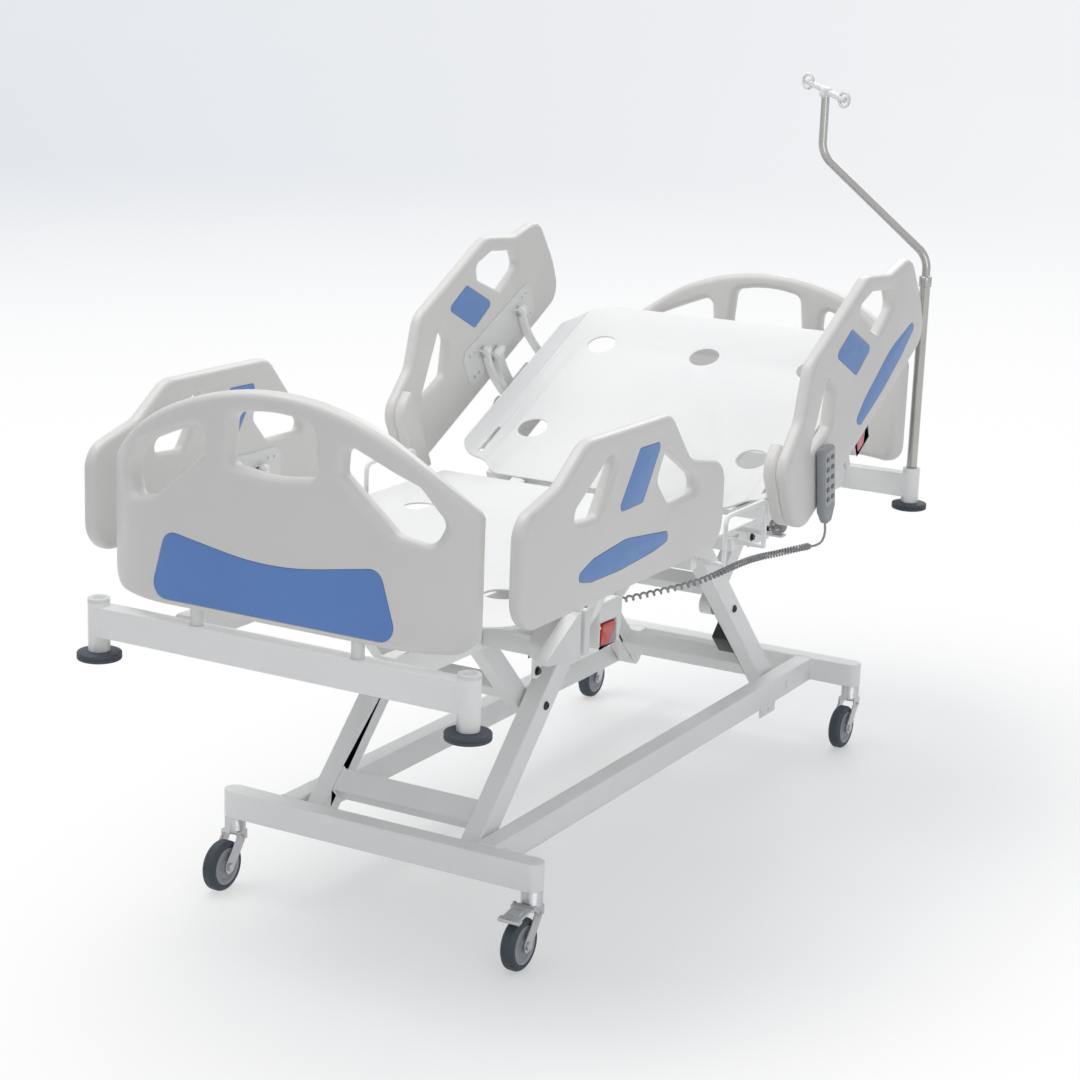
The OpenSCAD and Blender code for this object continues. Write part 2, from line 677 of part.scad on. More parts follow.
module backrest_sheet() {
  w = deck_half - 60;
  r_in = (60 * 60 + flange_h * flange_h) / (2 * flange_h);
  notch = [[-w, 44, 40], [45 - w, 0, 40], [w - 45, 0, 40], [w, 44, 40], [deck_half, 44, 30],
    [deck_half, back_len - 130, 60], [deck_half - 36, back_len, 70], [36 - deck_half, back_len, 70],
    [-deck_half, back_len - 130, 60], [-deck_half, 44, 30]];
  color("white") on_back() difference() {
    intersection() {
      union() {
        box([-w, w], [0, back_len], [-sheet_t, 0]);
        both() intersection() {
          difference() {
            rod_y(w, 0, back_len, r_in, r_in + sheet_t, $fn = 96);
            rod_y(w, -1, back_len + 1, r_in, r_in, $fn = 96);
          }
          box([w, deck_half], [0, back_len], [-sheet_t, flange_h + 2]);
        }
      }
      translate([0, 0, -sheet_t - 1]) linear_extrude(height = flange_h + sheet_t + 4) polygon(soft(notch));
    }
    for (x = [58 - w, 0, w - 58]) rod_z(x, 530, -sheet_t - 1, 1, vent_d / 2);
    for (x = [55 - w, w - 55]) rod_z(x, 180, -sheet_t - 1, 1, vent_d / 2);
    both() box([w + 18, w + 26], [66, 162], [-sheet_t - 2, 20]);
  }
}

// Crank pin seen from a section's pivot, when its crank leans by a from straight down
function crank(a) = crank_r * [sin(a), -cos(a)];
back_mid = 35;
leg_mid = 12.5;
back_yoke_x = -262;
leg_yoke_x = -300;

module backrest_frame() {
  s0 = -seam[0] - 10;
  h = [-sheet_t - section_tube, -sheet_t];
  mid = (h[0] + h[1]) / 2;
  pin = [cos(-90 - back_mid), sin(-90 - back_mid)] * crank_r - seam;
  color("gainsboro") on_back() difference() {
    union() {
      both() box([tube_x, tube_x + section_tube], [s0, 600], h);
      box([-305, 305], [4, 4 + section_tube], h);
      for (s = [300, 575]) box([-tube_x - section_tube, tube_x + section_tube], [s, s + section_tube], h);
      for (x = [-14, 8]) bar_yz([back_yoke_x + x, back_yoke_x + x + 6], [16, mid], pin, 20);
      rod_x(back_yoke_x - 14, back_yoke_x + 14, pin[0], pin[1], 8);
    }
    both() rod_x(tube_x - 1, tube_x + section_tube + 1, -seam[0], -seam[1], 5 + fit);
  }
}

module leg_sheet() {
  w = deck_half - arm_clear;
  edge = [[-w, leg_sheet_y, 0], [-w, deck_foot_y, 75], [w, deck_foot_y, 75], [w, leg_sheet_y, 0]];
  color("white") difference() {
    translate([0, 0, sheet_low]) linear_extrude(height = sheet_t) polygon(soft(edge, 10));
    both() rod_z(257, -681, sheet_low - 1, deck_z + 1, vent_d / 2);
    both() rod_z(235, -182, sheet_low - 1, deck_z + 1, vent_d / 2);
  }
}

module leg_section_frame() {
  pin = [leg_pivot_y, section_pivot_z] + crank(leg_mid);
  color("gainsboro") difference() {
    union() {
      both() box([tube_x, tube_x + section_tube], [deck_foot_y + 30, leg_pivot_y + 8], [tube_low, sheet_low]);
      for (y = [deck_foot_y + 30, -370])
        box([-tube_x - section_tube, tube_x + section_tube], [y, y + section_tube], [tube_low, sheet_low]);
      box([-320, 320], [94, 94 + section_tube], [tube_low, sheet_low]);
      for (x = [-14, 8])
        bar_yz([leg_yoke_x + x, leg_yoke_x + x + 6], [106, (tube_low + sheet_low) / 2], pin, 20);
      rod_x(leg_yoke_x - 14, leg_yoke_x + 14, pin[0], pin[1], 8);
    }
    both() rod_x(tube_x - 1, tube_x + section_tube + 1, leg_pivot_y, section_pivot_z, 5 + fit);
  }
}

// ---- section actuators, on the far side under the platform ----

back_rod_z = section_pivot_z - crank_r * (1 + cos(back_mid)) / 2;
leg_rod_z = section_pivot_z - crank_r * (1 + cos(leg_mid)) / 2;
back_travel = 2 * crank_r * sin(back_mid) / (2 * back_mid);
back_yoke_y = back_pivot_y + back_travel * (back_angle - back_mid);
leg_yoke_y = leg_pivot_y + crank_r * sin(leg_mid);

module actuator_case(x, y, z) {
  color("lightgray") difference() {
    union() {
      rod_y(x, y[0], y[1], z, 17);
      box([x - 17, -member_out], [min(y) + 70, min(y) + 120], [z, axis_z]);
    }
    rod_y(x, y[0] + sign(y[1] - y[0]) * 10, y[1] + sign(y[1] - y[0]), z, 8 + fit);
  }
}
module yoke_rod(x, y, z, len, slot) {
  color("silver") union() {
    rod_y(x, y, y + len, z, 8);
    difference() {
      box([x - 7, x + 7], [y - 14, y + 14], [z - slot - 6, z + slot + 6]);
      box([x - 8, x + 8], [y - 10, y + 10], [z - slot, z + slot]);
    }
  }
}
module backrest_actuator() {
  actuator_case(back_yoke_x, [back_pivot_y - 390, back_pivot_y - 110], back_rod_z);
}
module backrest_rod() {
  difference() {
    yoke_rod(back_yoke_x, back_yoke_y, back_rod_z, -200, crank_r * (1 - cos(back_mid)) / 2 + 10);
    box([back_yoke_x - 8, back_yoke_x + 8], [back_yoke_y - 10, back_yoke_y + 10],
      [back_rod_z - 9, back_rod_z + 9]);
  }
}
module leg_actuator() {
  actuator_case(leg_yoke_x, [leg_pivot_y + 392, leg_pivot_y + 112], leg_rod_z);
}
module leg_rod() {
  difference() {
    yoke_rod(leg_yoke_x, leg_yoke_y, leg_rod_z, 180, crank_r * (1 - cos(leg_mid)) / 2 + 10);
    box([leg_yoke_x - 8, leg_yoke_x + 8], [leg_yoke_y - 10, leg_yoke_y + 10], [leg_rod_z - 9, leg_rod_z + 9]);
  }
}

// ---- side rails, each seen with its middle at Y = 0 and the sheet top at Z = 0 ----

foot_outline = [[-413, 25, 60], [-413, 225, 55], [-280, 262, 60], [-190, 325, 70], [130, 325, 50],
  [220, 225, 70], [373, 195, 50], [373, 25, 60]];
head_outline = [[-462, 2, 70], [-468, 185, 50], [-355, 230, 60], [-275, 318, 60], [45, 334, 70],
  [160, 268, 60], [275, 245, 50], [297, 120, 200], [292, 22, 55], [120, 16, 200]];
foot_holes = [[[-75, 284, 14], [-112, 284, 20], [-262, 188, 14], [-148, 181, 16]],
  [[112, 262, 16], [240, 188, 20], [262, 156, 14], [128, 156, 30], [78, 208, 16]]];
head_holes = [[[-359, 134, 10], [-240, 134, 14], [-193, 202, 20], [-212, 252, 14]],
  [[-22, 296, 16], [54, 288, 16], [142, 238, 20], [146, 192, 20], [50, 180, 20], [-30, 262, 14]]];
foot_plug = [[0, 281, 9], [86, 280, 9], [18, 179, 9], [-77, 177, 9]];
head_plug = [[-170, 270, 9], [-79, 278, 9], [2, 180, 9], [-88, 168, 9]];
foot_lens = [[-240, 84, 9], [-165, 110, 80], [-40, 122, 200], [124, 104, 9], [128, 86, 9], [70, 77, 90],
  [-60, 69, 300], [-170, 70, 60]];
head_lens = [[-122, 68, 9], [-60, 88, 60], [100, 112, 300], [228, 99, 8], [240, 82, 8], [150, 62, 90],
  [30, 48, 300], [-100, 46, 16]];

module rail_panel(head) {
  x0 = rail_x(head);
  outline = head ? head_outline : foot_outline;
  holes = head ? head_holes : foot_holes;
  plug = head ? head_plug : foot_plug;
  lens = head ? head_lens : foot_lens;
  lug_x = x0 - arm_gap;
  color("gainsboro") {
    difference() {
      union() {
        slab_yz([x0, x0 + rail_t], soft(outline));
        // thicker rim at the end nearest the foot
        if (head) intersection() {
          slab_yz([x0 - 28, x0 + 1], soft(outline));
          box([x0 - 28, x0 + 1], [outline[0][0] - 10, outline[0][0] + 52], [0, 240]);
        }
        // mounting plate inside the panel
        slab_yz([x0 - 4, x0 + 1], soft([[-150, 50, 12], [-165, 66, 12], [-165, 124, 12], [-150, 140, 12],
          [150, 140, 12], [165, 124, 12], [165, 66, 12], [150, 50, 12]], 4));
      }
      for (h = holes) slab_yz([x0 - 40, x0 + rail_t + 1], soft(h));
      slab_yz([x0 - 40, x0 + rail_t + 1], soft(plug));
      slab_yz([x0 + rail_t - 2, x0 + rail_t + 1], soft(lens));
    }
    // lugs and pins for the arms and the middle link
    for (y = [-arm_off, arm_off]) for (s = [-1, 1])
      rail_lug(x0, y + s * (arm_t / 2 + 4.5), 8, arm_low + arm_dh);
    for (y = [-arm_off, arm_off]) rod_y(lug_x, y - 14, y + 14, arm_low + arm_dh, rail_pin_d / 2);
    for (s = [-1, 1]) rail_lug(x0, link_off + s * (15 + 4.5), 8, arm_low + arm_dh - link_drop);
    rod_y(lug_x, link_off - 23, link_off + 23, arm_low + arm_dh - link_drop, rail_pin_d / 2);
  }
  color("steelblue") {
    slab_yz([x0, x0 + rail_t], soft(plug));
    slab_yz([x0 + rail_t - 2, x0 + rail_t], soft(lens));
  }
}
module rail_lug(x0, y, t, z) {
  rod_y(x0 - arm_gap, y - t / 2, y + t / 2, z, 10);
  box([x0 - arm_gap, x0], [y - t / 2, y + t / 2], [z - 10, z + 10]);
}
module rail_panel_fl() {
  rail_place(false, -1) rail_panel(false);
}
module rail_panel_fr() {
  rail_place(false, 1) rail_panel(false);
}
module rail_panel_hl() {
  rail_place(true, -1) rail_panel(true);
}
module rail_panel_hr() {
  rail_place(true, 1) rail_panel(true);
}

// Bowed arm in the X-Z plane between the lower and upper pivots, thick along Y
module rail_arm(x0, y, t, drop, w) {
  low = [x0 - arm_gap - arm_dx, arm_low - drop];
  top = [x0 - arm_gap, arm_low + arm_dh - drop];
  chord = norm(top - low);
  bow = 18;
  r = (chord * chord / 4 + bow * bow) / (2 * bow);
  half = asin(chord / 2 / r);
  mid = (low + top) / 2;
  out = [top[1] - low[1], low[0] - top[0]] / chord;
  c = mid + out * (bow - r);
  a = atan2(out[1], out[0]);
  translate([0, y + t / 2, 0]) rotate([90, 0, 0]) difference() {
    union() {
      translate([c[0], c[1], 0]) rotate([0, 0, a - half])
        rotate_extrude(angle = 2 * half, $fn = 180) translate([r - w / 2, 0.5]) square([w, t - 1]);
      for (p = [low, top]) translate([p[0], p[1], 0]) cylinder(h = t, r = arm_w / 2);
    }
    for (p = [low, top]) translate([p[0], p[1], -1]) cylinder(h = t + 2, r = rail_pin_d / 2 + fit);
  }
}
module rail_arms(head, side) {
  color("whitesmoke") rail_place(head, side)
    for (y = [-arm_off, arm_off]) rail_arm(rail_x(head), y, arm_t, 0, arm_w - 3);
}
module rail_link(head, side) {
  color("gainsboro") rail_place(head, side) rail_arm(rail_x(head), link_off, 30, link_drop, arm_w - 6);
}
module rail_arms_fl() {
  rail_arms(false, -1);
}
module rail_arms_fr() {
  rail_arms(false, 1);
}
module rail_arms_hl() {
  rail_arms(true, -1);
}
module rail_arms_hr() {
  rail_arms(true, 1);
}
module rail_link_fl() {
  rail_link(false, -1);
}
module rail_link_fr() {
  rail_link(false, 1);
}
module rail_link_hl() {
  rail_link(true, -1);
}
module rail_link_hr() {
  rail_link(true, 1);
}

// Red release let into the cover of its mount, hinged along its top
release_pivot = [28, -60];
module rail_release(head, side) {
  x = rail_x(head) - release_pivot[0];
  p = release_pivot[1];
  color("crimson") rail_place(head, side) difference() {
    union() {
      slab_yz([x - 5, x + 5], soft([[release_y[0], p - 32, 4], [release_y[0] + 4, p + 5, 4],
        [release_y[1], p + 5, 4], [release_y[1] - 26, p - 32, 6]], 4));
      rod_y(x, release_y[0] + 6, release_y[1] - 6, p, 6);
    }
    rod_y(x, release_y[0] - 1, release_y[1] + 1, p, 3 + fit);
  }
}
module rail_release_fl() {
  rail_release(false, -1);
}
module rail_release_fr() {
  rail_release(false, 1);
}
module rail_release_hl() {
  rail_release(true, -1);
}
module rail_release_hr() {
  rail_release(true, 1);
}

// Cover block of a rail mount, slotted for the arms, the link and the release
module rail_mount(head) {
  x0 = rail_x(head);
  px = x0 - arm_gap - arm_dx;
  face = px + 18;
  back = px - 35;
  top = head ? -sheet_t - 8 : -sheet_t - 6;
  low = -100;
  cover = x0 - cover_gap;
  rx = x0 - release_pivot[0];
  union() {
    difference() {
      union() {
        slab_yz([back, face], soft([[cover_foot[0], low, 12], [cover_foot[0], top - 60, 12],
          [cover_foot[0] + 60, top, 30], [cover_foot[1], top, 12], [cover_foot[1], low, 12]]));
        slab_yz([face - 1, cover], soft([[cover_front, low + 18, 8], [cover_foot[0] + 40, top - 2, 25],
          [54, top - 2, 10], [54, low + 2, 12], [-100, low + 2, 40]]));
      }
      for (y = [-arm_off, arm_off])
        box([back + 18, cover + 1], [y - arm_t / 2 - 1, y + arm_t / 2 + 1], [low - 1, 0]);
      box([back + 18, cover + 1], [link_off - 16, link_off + 16], [low - 1, 0]);
      box([cover - 20, cover + 1], [release_y[0] - 3, release_y[1] + 3],
        [release_pivot[1] - 36, release_pivot[1] + 9]);
    }
    for (y = [-arm_off, arm_off]) rod_y(px, y - 12, y + 12, arm_low, rail_pin_d / 2);
    rod_y(px, link_off - 20, link_off + 20, arm_low - link_drop, rail_pin_d / 2);
    rod_y(rx, release_y[0] - 6.5, release_y[1] + 7, release_pivot[1], 3);
  }
}
module backrest_rail_mounts() {
  x_in = tube_x + section_tube;
  x_out = rail_x(true) - arm_gap - arm_dx - 34;
  color("whitesmoke") for (side = [-1, 1]) rail_place(true, side) {
    rail_mount(true);
    for (y = [-62, 70]) box([x_in, x_out + 1], [y - 15, y + 15], [-sheet_t - section_tube, -sheet_t - 4]);
  }
}
module frame_rail_mounts() {
  x_out = rail_x(false) - arm_gap - arm_dx - 34;
  color("whitesmoke") for (side = [-1, 1]) rail_place(false, side) {
    rail_mount(false);
    for (y = [-130, 70])
      box([member_out, x_out], [y - 15, y + 15], [axis_z - deck_z - 20, axis_z - deck_z + 20]);
  }
}

// ---- handset, leads and pole ----

handset_x = head_rail_x + rail_t;
handset_mid = [232, 776];
module handset_place() {
  translate([handset_x, handset_mid[0], handset_mid[1]]) rotate([9, 0, 0]) children();
}
module handset() {
  w = handset_w / 2;
  l = handset_len / 2;
  color("darkgray") handset_place() {
    slab_yz([3, handset_t], soft([[-w, -l + 30, 14], [-w, l, 12], [w, l, 12], [w, -l + 30, 14], [10, -l, 6],
      [-10, -l, 6]], 5));
    box([0, 4], [-14, 14], [l - 60, l - 20]);
  }
}
module handset_keypad() {
  w = handset_w / 2 - 6;
  l = handset_len / 2;
  color("gray") handset_place() union() {
    slab_yz([handset_t, handset_t + 0.8],
      soft([[-w, -l + 42, 8], [-w, l - 8, 8], [w, l - 8, 8], [w, -l + 42, 8]], 4));
    for (y = [-12, 12]) for (i = [0:4]) rod_x(handset_t + 0.5, handset_t + 1.8, y, l - 24 - i * 22, 5);
  }
}
// Curled lead of the handset
handset_route = [[501, 245, 690], [501, 247, 668], [493, 252, 648], [474, 263, 634], [440, 290, 620],
  [392, 268, 604], [345, 205, 592], [322, 20, 583], [276, -110, 578], [243, -200, 576],
  [232, -255, 575], [232, -279.4, 575]];
module handset_cord() {
  color("dimgray") cord_tube(handset_route, 8, 6, 10);
}

// Mains lead: from its gland on the head-end lift housing to the coil on top, then to the parked plug
lead_d = 8;
coil_r = 44;
coil_fat = 13;
coil_c = [0, 630, axis_z + lift_case_d / 2 + gap + coil_fat];
gland_at = [44, 705, axis_z + 7];
plug_at = [372, 330, 655];
coil_side = coil_c[0] + coil_r + coil_fat;
lead_in = [gland_at + [0.3, 0, 0], [64, 705, 633], [88, 694, 640], [97, 670, 650], [88, 646, 659],
  [68, 636, coil_c[2]], [coil_side + 0.3, 636, coil_c[2]]];
lead_out = [[coil_side + 0.3, 614, coil_c[2]], [110, 610, 662], [180, 580, 661], [250, 520, 660],
  [310, 450, 662], [345, 402, 674], [362, 372, 677], [371, 350, 664], plug_at];
module mains_lead() {
  color("dimgray") {
    cord_tube(lead_in, lead_d / 2, 3, 8);
    cord_tube(lead_out, lead_d / 2, 4, 8);
  }
}
module mains_coil() {
  color("dimgray") translate(coil_c) rotate_extrude() translate([coil_r, 0]) circle(r = coil_fat);
}
module mains_plug() {
  p = plug_at;
  color("dimgray") union() {
    rod_y(p[0], p[1] - 40, p[1] - 0.3, p[2], 19);
    rod_x(p[0] - 2.4, p[0] + 2.4, p[1] - 50, p[2] + 8, 3);
    for (x = [-7, 7]) rod_y(p[0] + x, p[1] - 62, p[1] - 39, p[2] - 3, 2.4);
    rod_y(p[0], p[1] - 62, p[1] - 39, p[2] + 8, 2.4);
  }
}

module iv_pole_lower() {
  z0 = socket_top - head_socket_len + 12.5;
  color("silver") difference() {
    union() {
      rod_z(socket_x, beam_y, z0, pole_mid_z, pole_d / 2);
      rod_z(socket_x, beam_y, pole_mid_z - 26, pole_mid_z, pole_d / 2 + 2.5);
    }
    rod_z(socket_x, beam_y, z0 + 12, pole_mid_z + 1, pole_top_d / 2 + fit);
  }
}
module iv_pole_upper() {
  r = pole_top_d / 2;
  color("silver") {
    translate([socket_x, beam_y, 0]) rotate([90, 0, 0])
      bent_tube([[0, pole_mid_z - 300], [0, pole_mid_z + 45], [-pole_shift, hook_z - 150],
        [-pole_shift, hook_z - 8]], r, 60);
  }
  color("white") translate([socket_x - pole_shift, beam_y, hook_z]) rotate([0, 16, -22]) union() {
    rod_z(0, 0, -14, 8, r + 4);
    both() {
      box([0, 62], [-7, 7], [-8, 6]);
      rod_x(58, 70, 0, -1, 9);
      translate([64, 0, 0]) rotate([90, 0, 0]) translate([0, 0, -4])
        rotate_extrude(angle = 360) translate([14, 0]) square([6, 8]);
    }
  }
}

// ---- castors at their four places ----

module castor_fork_fl() {
  at_castor(-1, false) castor_fork();
}
module castor_fork_fr() {
  at_castor(1, false) castor_fork();
}
module castor_fork_rl() {
  at_castor(-1, true) castor_fork();
}
module castor_fork_rr() {
  at_castor(1, true) castor_fork();
}
module castor_wheel_fl() {
  at_castor(-1, false) castor_wheel();
}
module castor_wheel_fr() {
  at_castor(1, false) castor_wheel();
}
module castor_wheel_rl() {
  at_castor(-1, true) castor_wheel();
}
module castor_wheel_rr() {
  at_castor(1, true) castor_wheel();
}
module brake_pedal_fr() {
  at_castor(1, false) brake_pedal();
}
module brake_pedal_rl() {
  at_castor(-1, true) brake_pedal();
}

base_frame();
base_pivot_pins();
castor_fork_fl();
castor_fork_fr();
castor_fork_rl();
castor_fork_rr();
castor_wheel_fl();
castor_wheel_fr();
castor_wheel_rl();
castor_wheel_rr();
brake_pedal_fr();
brake_pedal_rl();
front_leg_frame();
rear_leg_frame();
front_link_frame();
rear_link_frame();
front_carriage();
rear_carriage();
upper_frame();
end_beams();
bumper_discs();
frame_pins();
lift_actuators();
control_box();
footboard();
headboard();
backrest_sheet();
backrest_frame();
leg_sheet();
leg_section_frame();
rail_panel_fl();
rail_panel_fr();
rail_panel_hl();
rail_panel_hr();
rail_arms_fl();
rail_arms_fr();
rail_arms_hl();
rail_arms_hr();
rail_link_fl();
rail_link_fr();
rail_link_hl();
rail_link_hr();
rail_release_fl();
rail_release_fr();
rail_release_hl();
rail_release_hr();
backrest_rail_mounts();
frame_rail_mounts();
backrest_actuator();
backrest_rod();
leg_actuator();
leg_rod();
handset();
handset_keypad();
handset_cord();
mains_lead();
mains_coil();
mains_plug();
iv_pole_lower();
iv_pole_upper();
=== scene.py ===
"""Dresses the adjustable hospital bed: finishes, moulded shells, cords and the studio.

Laid out as a Blender add-on. One operator makes each group of pieces and the panel lists them.
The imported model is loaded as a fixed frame, and every new piece rides on one of its bodies.
Lengths are metres. X runs across the bed, Y from the foot to the head and Z up.
"""
import json
from math import acos, asin, atan2, cos, pi, radians, sin, tan

import bmesh
import bpy
from bpy.props import FloatProperty, FloatVectorProperty
from mathutils import Matrix, Vector


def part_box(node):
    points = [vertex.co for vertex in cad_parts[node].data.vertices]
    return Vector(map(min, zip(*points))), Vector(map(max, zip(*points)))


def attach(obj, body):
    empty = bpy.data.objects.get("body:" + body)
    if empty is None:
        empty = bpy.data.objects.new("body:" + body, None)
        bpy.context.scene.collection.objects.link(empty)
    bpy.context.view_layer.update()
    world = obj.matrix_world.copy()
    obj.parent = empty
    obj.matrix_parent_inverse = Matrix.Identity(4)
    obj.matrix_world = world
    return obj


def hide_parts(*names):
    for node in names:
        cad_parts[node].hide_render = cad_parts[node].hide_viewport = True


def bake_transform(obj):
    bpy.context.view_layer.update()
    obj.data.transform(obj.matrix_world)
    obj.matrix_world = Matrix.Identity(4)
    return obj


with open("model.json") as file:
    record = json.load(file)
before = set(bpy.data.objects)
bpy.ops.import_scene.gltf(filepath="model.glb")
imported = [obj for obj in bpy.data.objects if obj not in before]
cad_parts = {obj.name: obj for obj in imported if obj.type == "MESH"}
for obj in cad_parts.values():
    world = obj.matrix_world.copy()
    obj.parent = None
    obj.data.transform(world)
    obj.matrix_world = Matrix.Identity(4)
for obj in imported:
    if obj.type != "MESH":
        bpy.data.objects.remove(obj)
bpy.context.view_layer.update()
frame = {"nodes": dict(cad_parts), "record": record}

bl_info = {
    "name": "Adjustable hospital bed",
    "version": (1, 0, 0),
    "blender": (4, 5, 0),
    "location": "View3D > Sidebar > Bed",
    "description": "Finishes, moulded boards and rails, cords and studio for the hospital bed",
    "category": "Object",
}

MM = 0.001

# Driving sizes of the frame, in millimetres, as the solids have them
DECK_Z = 700.0
BACK_ANGLE = radians(26)
BACK_SEAM = (190.0, 688.0)
SEAM = (8.0, 9.5)
BEAM_Y = 1025.0
SOCKET_X = 398.0
FOOT_RAIL = {"x": 440.0, "c": -570.0}
HEAD_RAIL = {"x": 460.0, "c": 393.0}
RAIL_T = 30.0
ARM_OFF = 89.0
FOOT_PIVOT_Y, HEAD_PIVOT_Y, PIVOT_Z = -620.0, 705.0, 172.5
LEG_ARM = 320.0
LEG_LEAN = radians(45)
AXIS_Z = PIVOT_Z + 2 * LEG_ARM * cos(LEG_LEAN)
CROSS_FACES = (-660.0, 844.0)
SWIVEL_TRAIL = 44.0
LUGS = [(-ARM_OFF, 6, 104), (ARM_OFF, 6, 104), (-45, 15, 72)]

# From a flat plate (along, up, thickness) to its place (outward, along, up)
STAND = Matrix(((0, 0, 1, 0), (1, 0, 0, 0), (0, 1, 0, 0), (0, 0, 0, 1)))


# ---------------------------------------------------------------- materials

def nodes_of(name):
    """Make an empty node material and return it with its tree."""
    material = bpy.data.materials.get(name) or bpy.data.materials.new(name)
    material.use_nodes = True
    material.node_tree.nodes.clear()
    return material, material.node_tree


def add(tree, kind, inputs=None, **settings):
    """A shader node with its settings, and with its inputs {socket: value or output} set or linked."""
    node = tree.nodes.new("ShaderNode" + kind)
    for name, value in settings.items():
        setattr(node, name, value)
    for socket, value in (inputs or {}).items():
        if hasattr(value, "is_output"):
            tree.links.new(value, node.inputs[socket])
        else:
            node.inputs[socket].default_value = value
    return node


def surface(name, colour, rough=0.4, metal=0.0, spread=0.06, grain=400.0, bump=0.1, depth=0.0002,
            mottle=3.0, dirt=0.05, coat=0.0, scratch=0.0):
    """A painted, moulded or metal surface.

    Large soft mottling and fine grain vary the colour, the grain roughens and bumps the surface,
    and a thin veil of handling marks darkens patches of it.
    """
    material, tree = nodes_of(name)
    place_on = add(tree, "TexCoord").outputs["Object"]

    def noise(scale, detail, roughness=0.5, where=place_on):
        return add(tree, "TexNoise", {"Scale": scale, "Detail": detail, "Roughness": roughness,
                                      "Vector": where}).outputs["Fac"]

    def ramp(value, low, high, a, b):
        return add(tree, "MapRange", {0: value, 1: low, 2: high, 3: a, 4: b}).outputs[0]

    def mix(factor, a, b):
        return add(tree, "Mix", {0: factor, 6: a, 7: b}, data_type="RGBA").outputs[2]

    def shade(share):
        return (*(min(1, c * share) for c in colour), 1)

    fine, marks = noise(grain, 6, 0.65), noise(mottle * 5, 9, 0.72)
    base = mix(ramp(noise(mottle, 4), 0.3, 0.7, 0, 1), shade(1 - spread), shade(1 + spread))
    base = mix(ramp(fine, 0.35, 0.7, 0, 0.35), base, shade(1 - 1.6 * spread))
    base = mix(ramp(marks, 0.56, 0.72, 0, dirt), base, shade(0.55))
    roughness = add(tree, "Math", {0: ramp(fine, 0.3, 0.7, rough - 0.06, rough + 0.06),
                                   1: ramp(marks, 0.45, 0.7, 0.0, 0.12)}, operation="ADD", use_clamp=True)
    height = fine
    if scratch:
        along = add(tree, "Mapping", {"Vector": place_on, "Scale": (1, 1, scratch)}).outputs[0]
        height = add(tree, "Math", {0: fine, 1: noise(60, 8, where=along)}, operation="ADD").outputs[0]
    relief = add(tree, "Bump", {"Strength": bump, "Distance": depth, "Height": height})
    bsdf = add(tree, "BsdfPrincipled", {
        "Base Color": base, "Metallic": metal, "Roughness": roughness.outputs[0], "Coat Weight": coat,
        "Coat Roughness": 0.15, "Normal": relief.outputs[0]})
    add(tree, "OutputMaterial", {0: bsdf.outputs[0]})
    return material


def make_materials(settings):
    """Every finish of the bed, by name."""
    shell = dict(spread=0.02, dirt=0.04)
    blue = dict(grain=2200, bump=0.3, spread=0.05, mottle=5, depth=0.00015)
    case = dict(grain=900, bump=0.25)
    rows = {
        "powder": ("powder_coat", settings.paint_colour, 0.36,
                   dict(grain=900, bump=0.16, spread=0.025, dirt=0.06, coat=0.1)),
        "sheet": ("sheet_coat", (0.86, 0.86, 0.85), 0.42, dict(grain=1100, bump=0.14, **shell)),
        "board": ("board_plastic", settings.shell_colour, 0.34,
                  dict(grain=1500, bump=0.2, depth=0.00012, **shell)),
        "cover": ("cover_plastic", (0.78, 0.78, 0.765), 0.38, dict(grain=1300, bump=0.18, spread=0.025)),
        "blue_foot": ("blue_foot", settings.inlay_colour, 0.40, blue),
        "blue_rail": ("blue_rail", settings.rail_colour, 0.40, blue),
        "zinc": ("zinc_steel", (0.56, 0.57, 0.58), 0.34,
                 dict(metal=1.0, grain=260, bump=0.25, spread=0.10, mottle=22, dirt=0.25)),
        "pole": ("pole_steel", (0.44, 0.435, 0.42), 0.13,
                 dict(metal=1.0, grain=500, bump=0.05, spread=0.05, mottle=9, dirt=0.12, scratch=0.03)),
        "rubber": ("slate_rubber", (0.048, 0.062, 0.076), 0.55,
                   dict(grain=900, bump=0.35, spread=0.2, mottle=12, dirt=0.2)),
        "hub": ("hub_plastic", (0.33, 0.335, 0.37), 0.42,
                dict(grain=800, bump=0.2, spread=0.1, mottle=14, dirt=0.2)),
        "hub_ring": ("hub_ring", (0.42, 0.42, 0.45), 0.36, dict(grain=800, bump=0.15, spread=0.08)),
        "case": ("grey_case", (0.50, 0.50, 0.49), 0.45, dict(spread=0.05, **case)),
        "black": ("black_plastic", (0.022, 0.023, 0.025), 0.38, dict(spread=0.2, **case)),
        "dark": ("dark_case", (0.10, 0.105, 0.11), 0.45, dict(spread=0.1, **case)),
        "red": ("red_plastic", (0.58, 0.030, 0.028), 0.30, dict(grain=1200, bump=0.12, coat=0.3)),
        "handset": ("handset_plastic", (0.32, 0.33, 0.34), 0.42, dict(grain=1200, bump=0.25, spread=0.05)),
        "keypad": ("keypad_film", (0.42, 0.43, 0.43), 0.38, dict(grain=1200, bump=0.12, spread=0.04)),
        "key": ("key_print", (0.11, 0.12, 0.135), 0.35, dict(grain=900, spread=0.1)),
        "cord": ("cord_rubber", (0.33, 0.335, 0.345), 0.48,
                 dict(grain=1400, bump=0.25, spread=0.08, mottle=30)),
        "white": ("white_plastic", (0.78, 0.78, 0.77), 0.40, dict(grain=300, bump=0.03, spread=0.02)),
        "screw": ("black_screw", (0.035, 0.036, 0.038), 0.32,
                  dict(metal=0.6, grain=500, bump=0.3, spread=0.2)),
    }
    return {key: surface(name, tuple(colour), rough, **rest)
            for key, (name, colour, rough, rest) in rows.items()}


# ---------------------------------------------------------------- mesh helpers

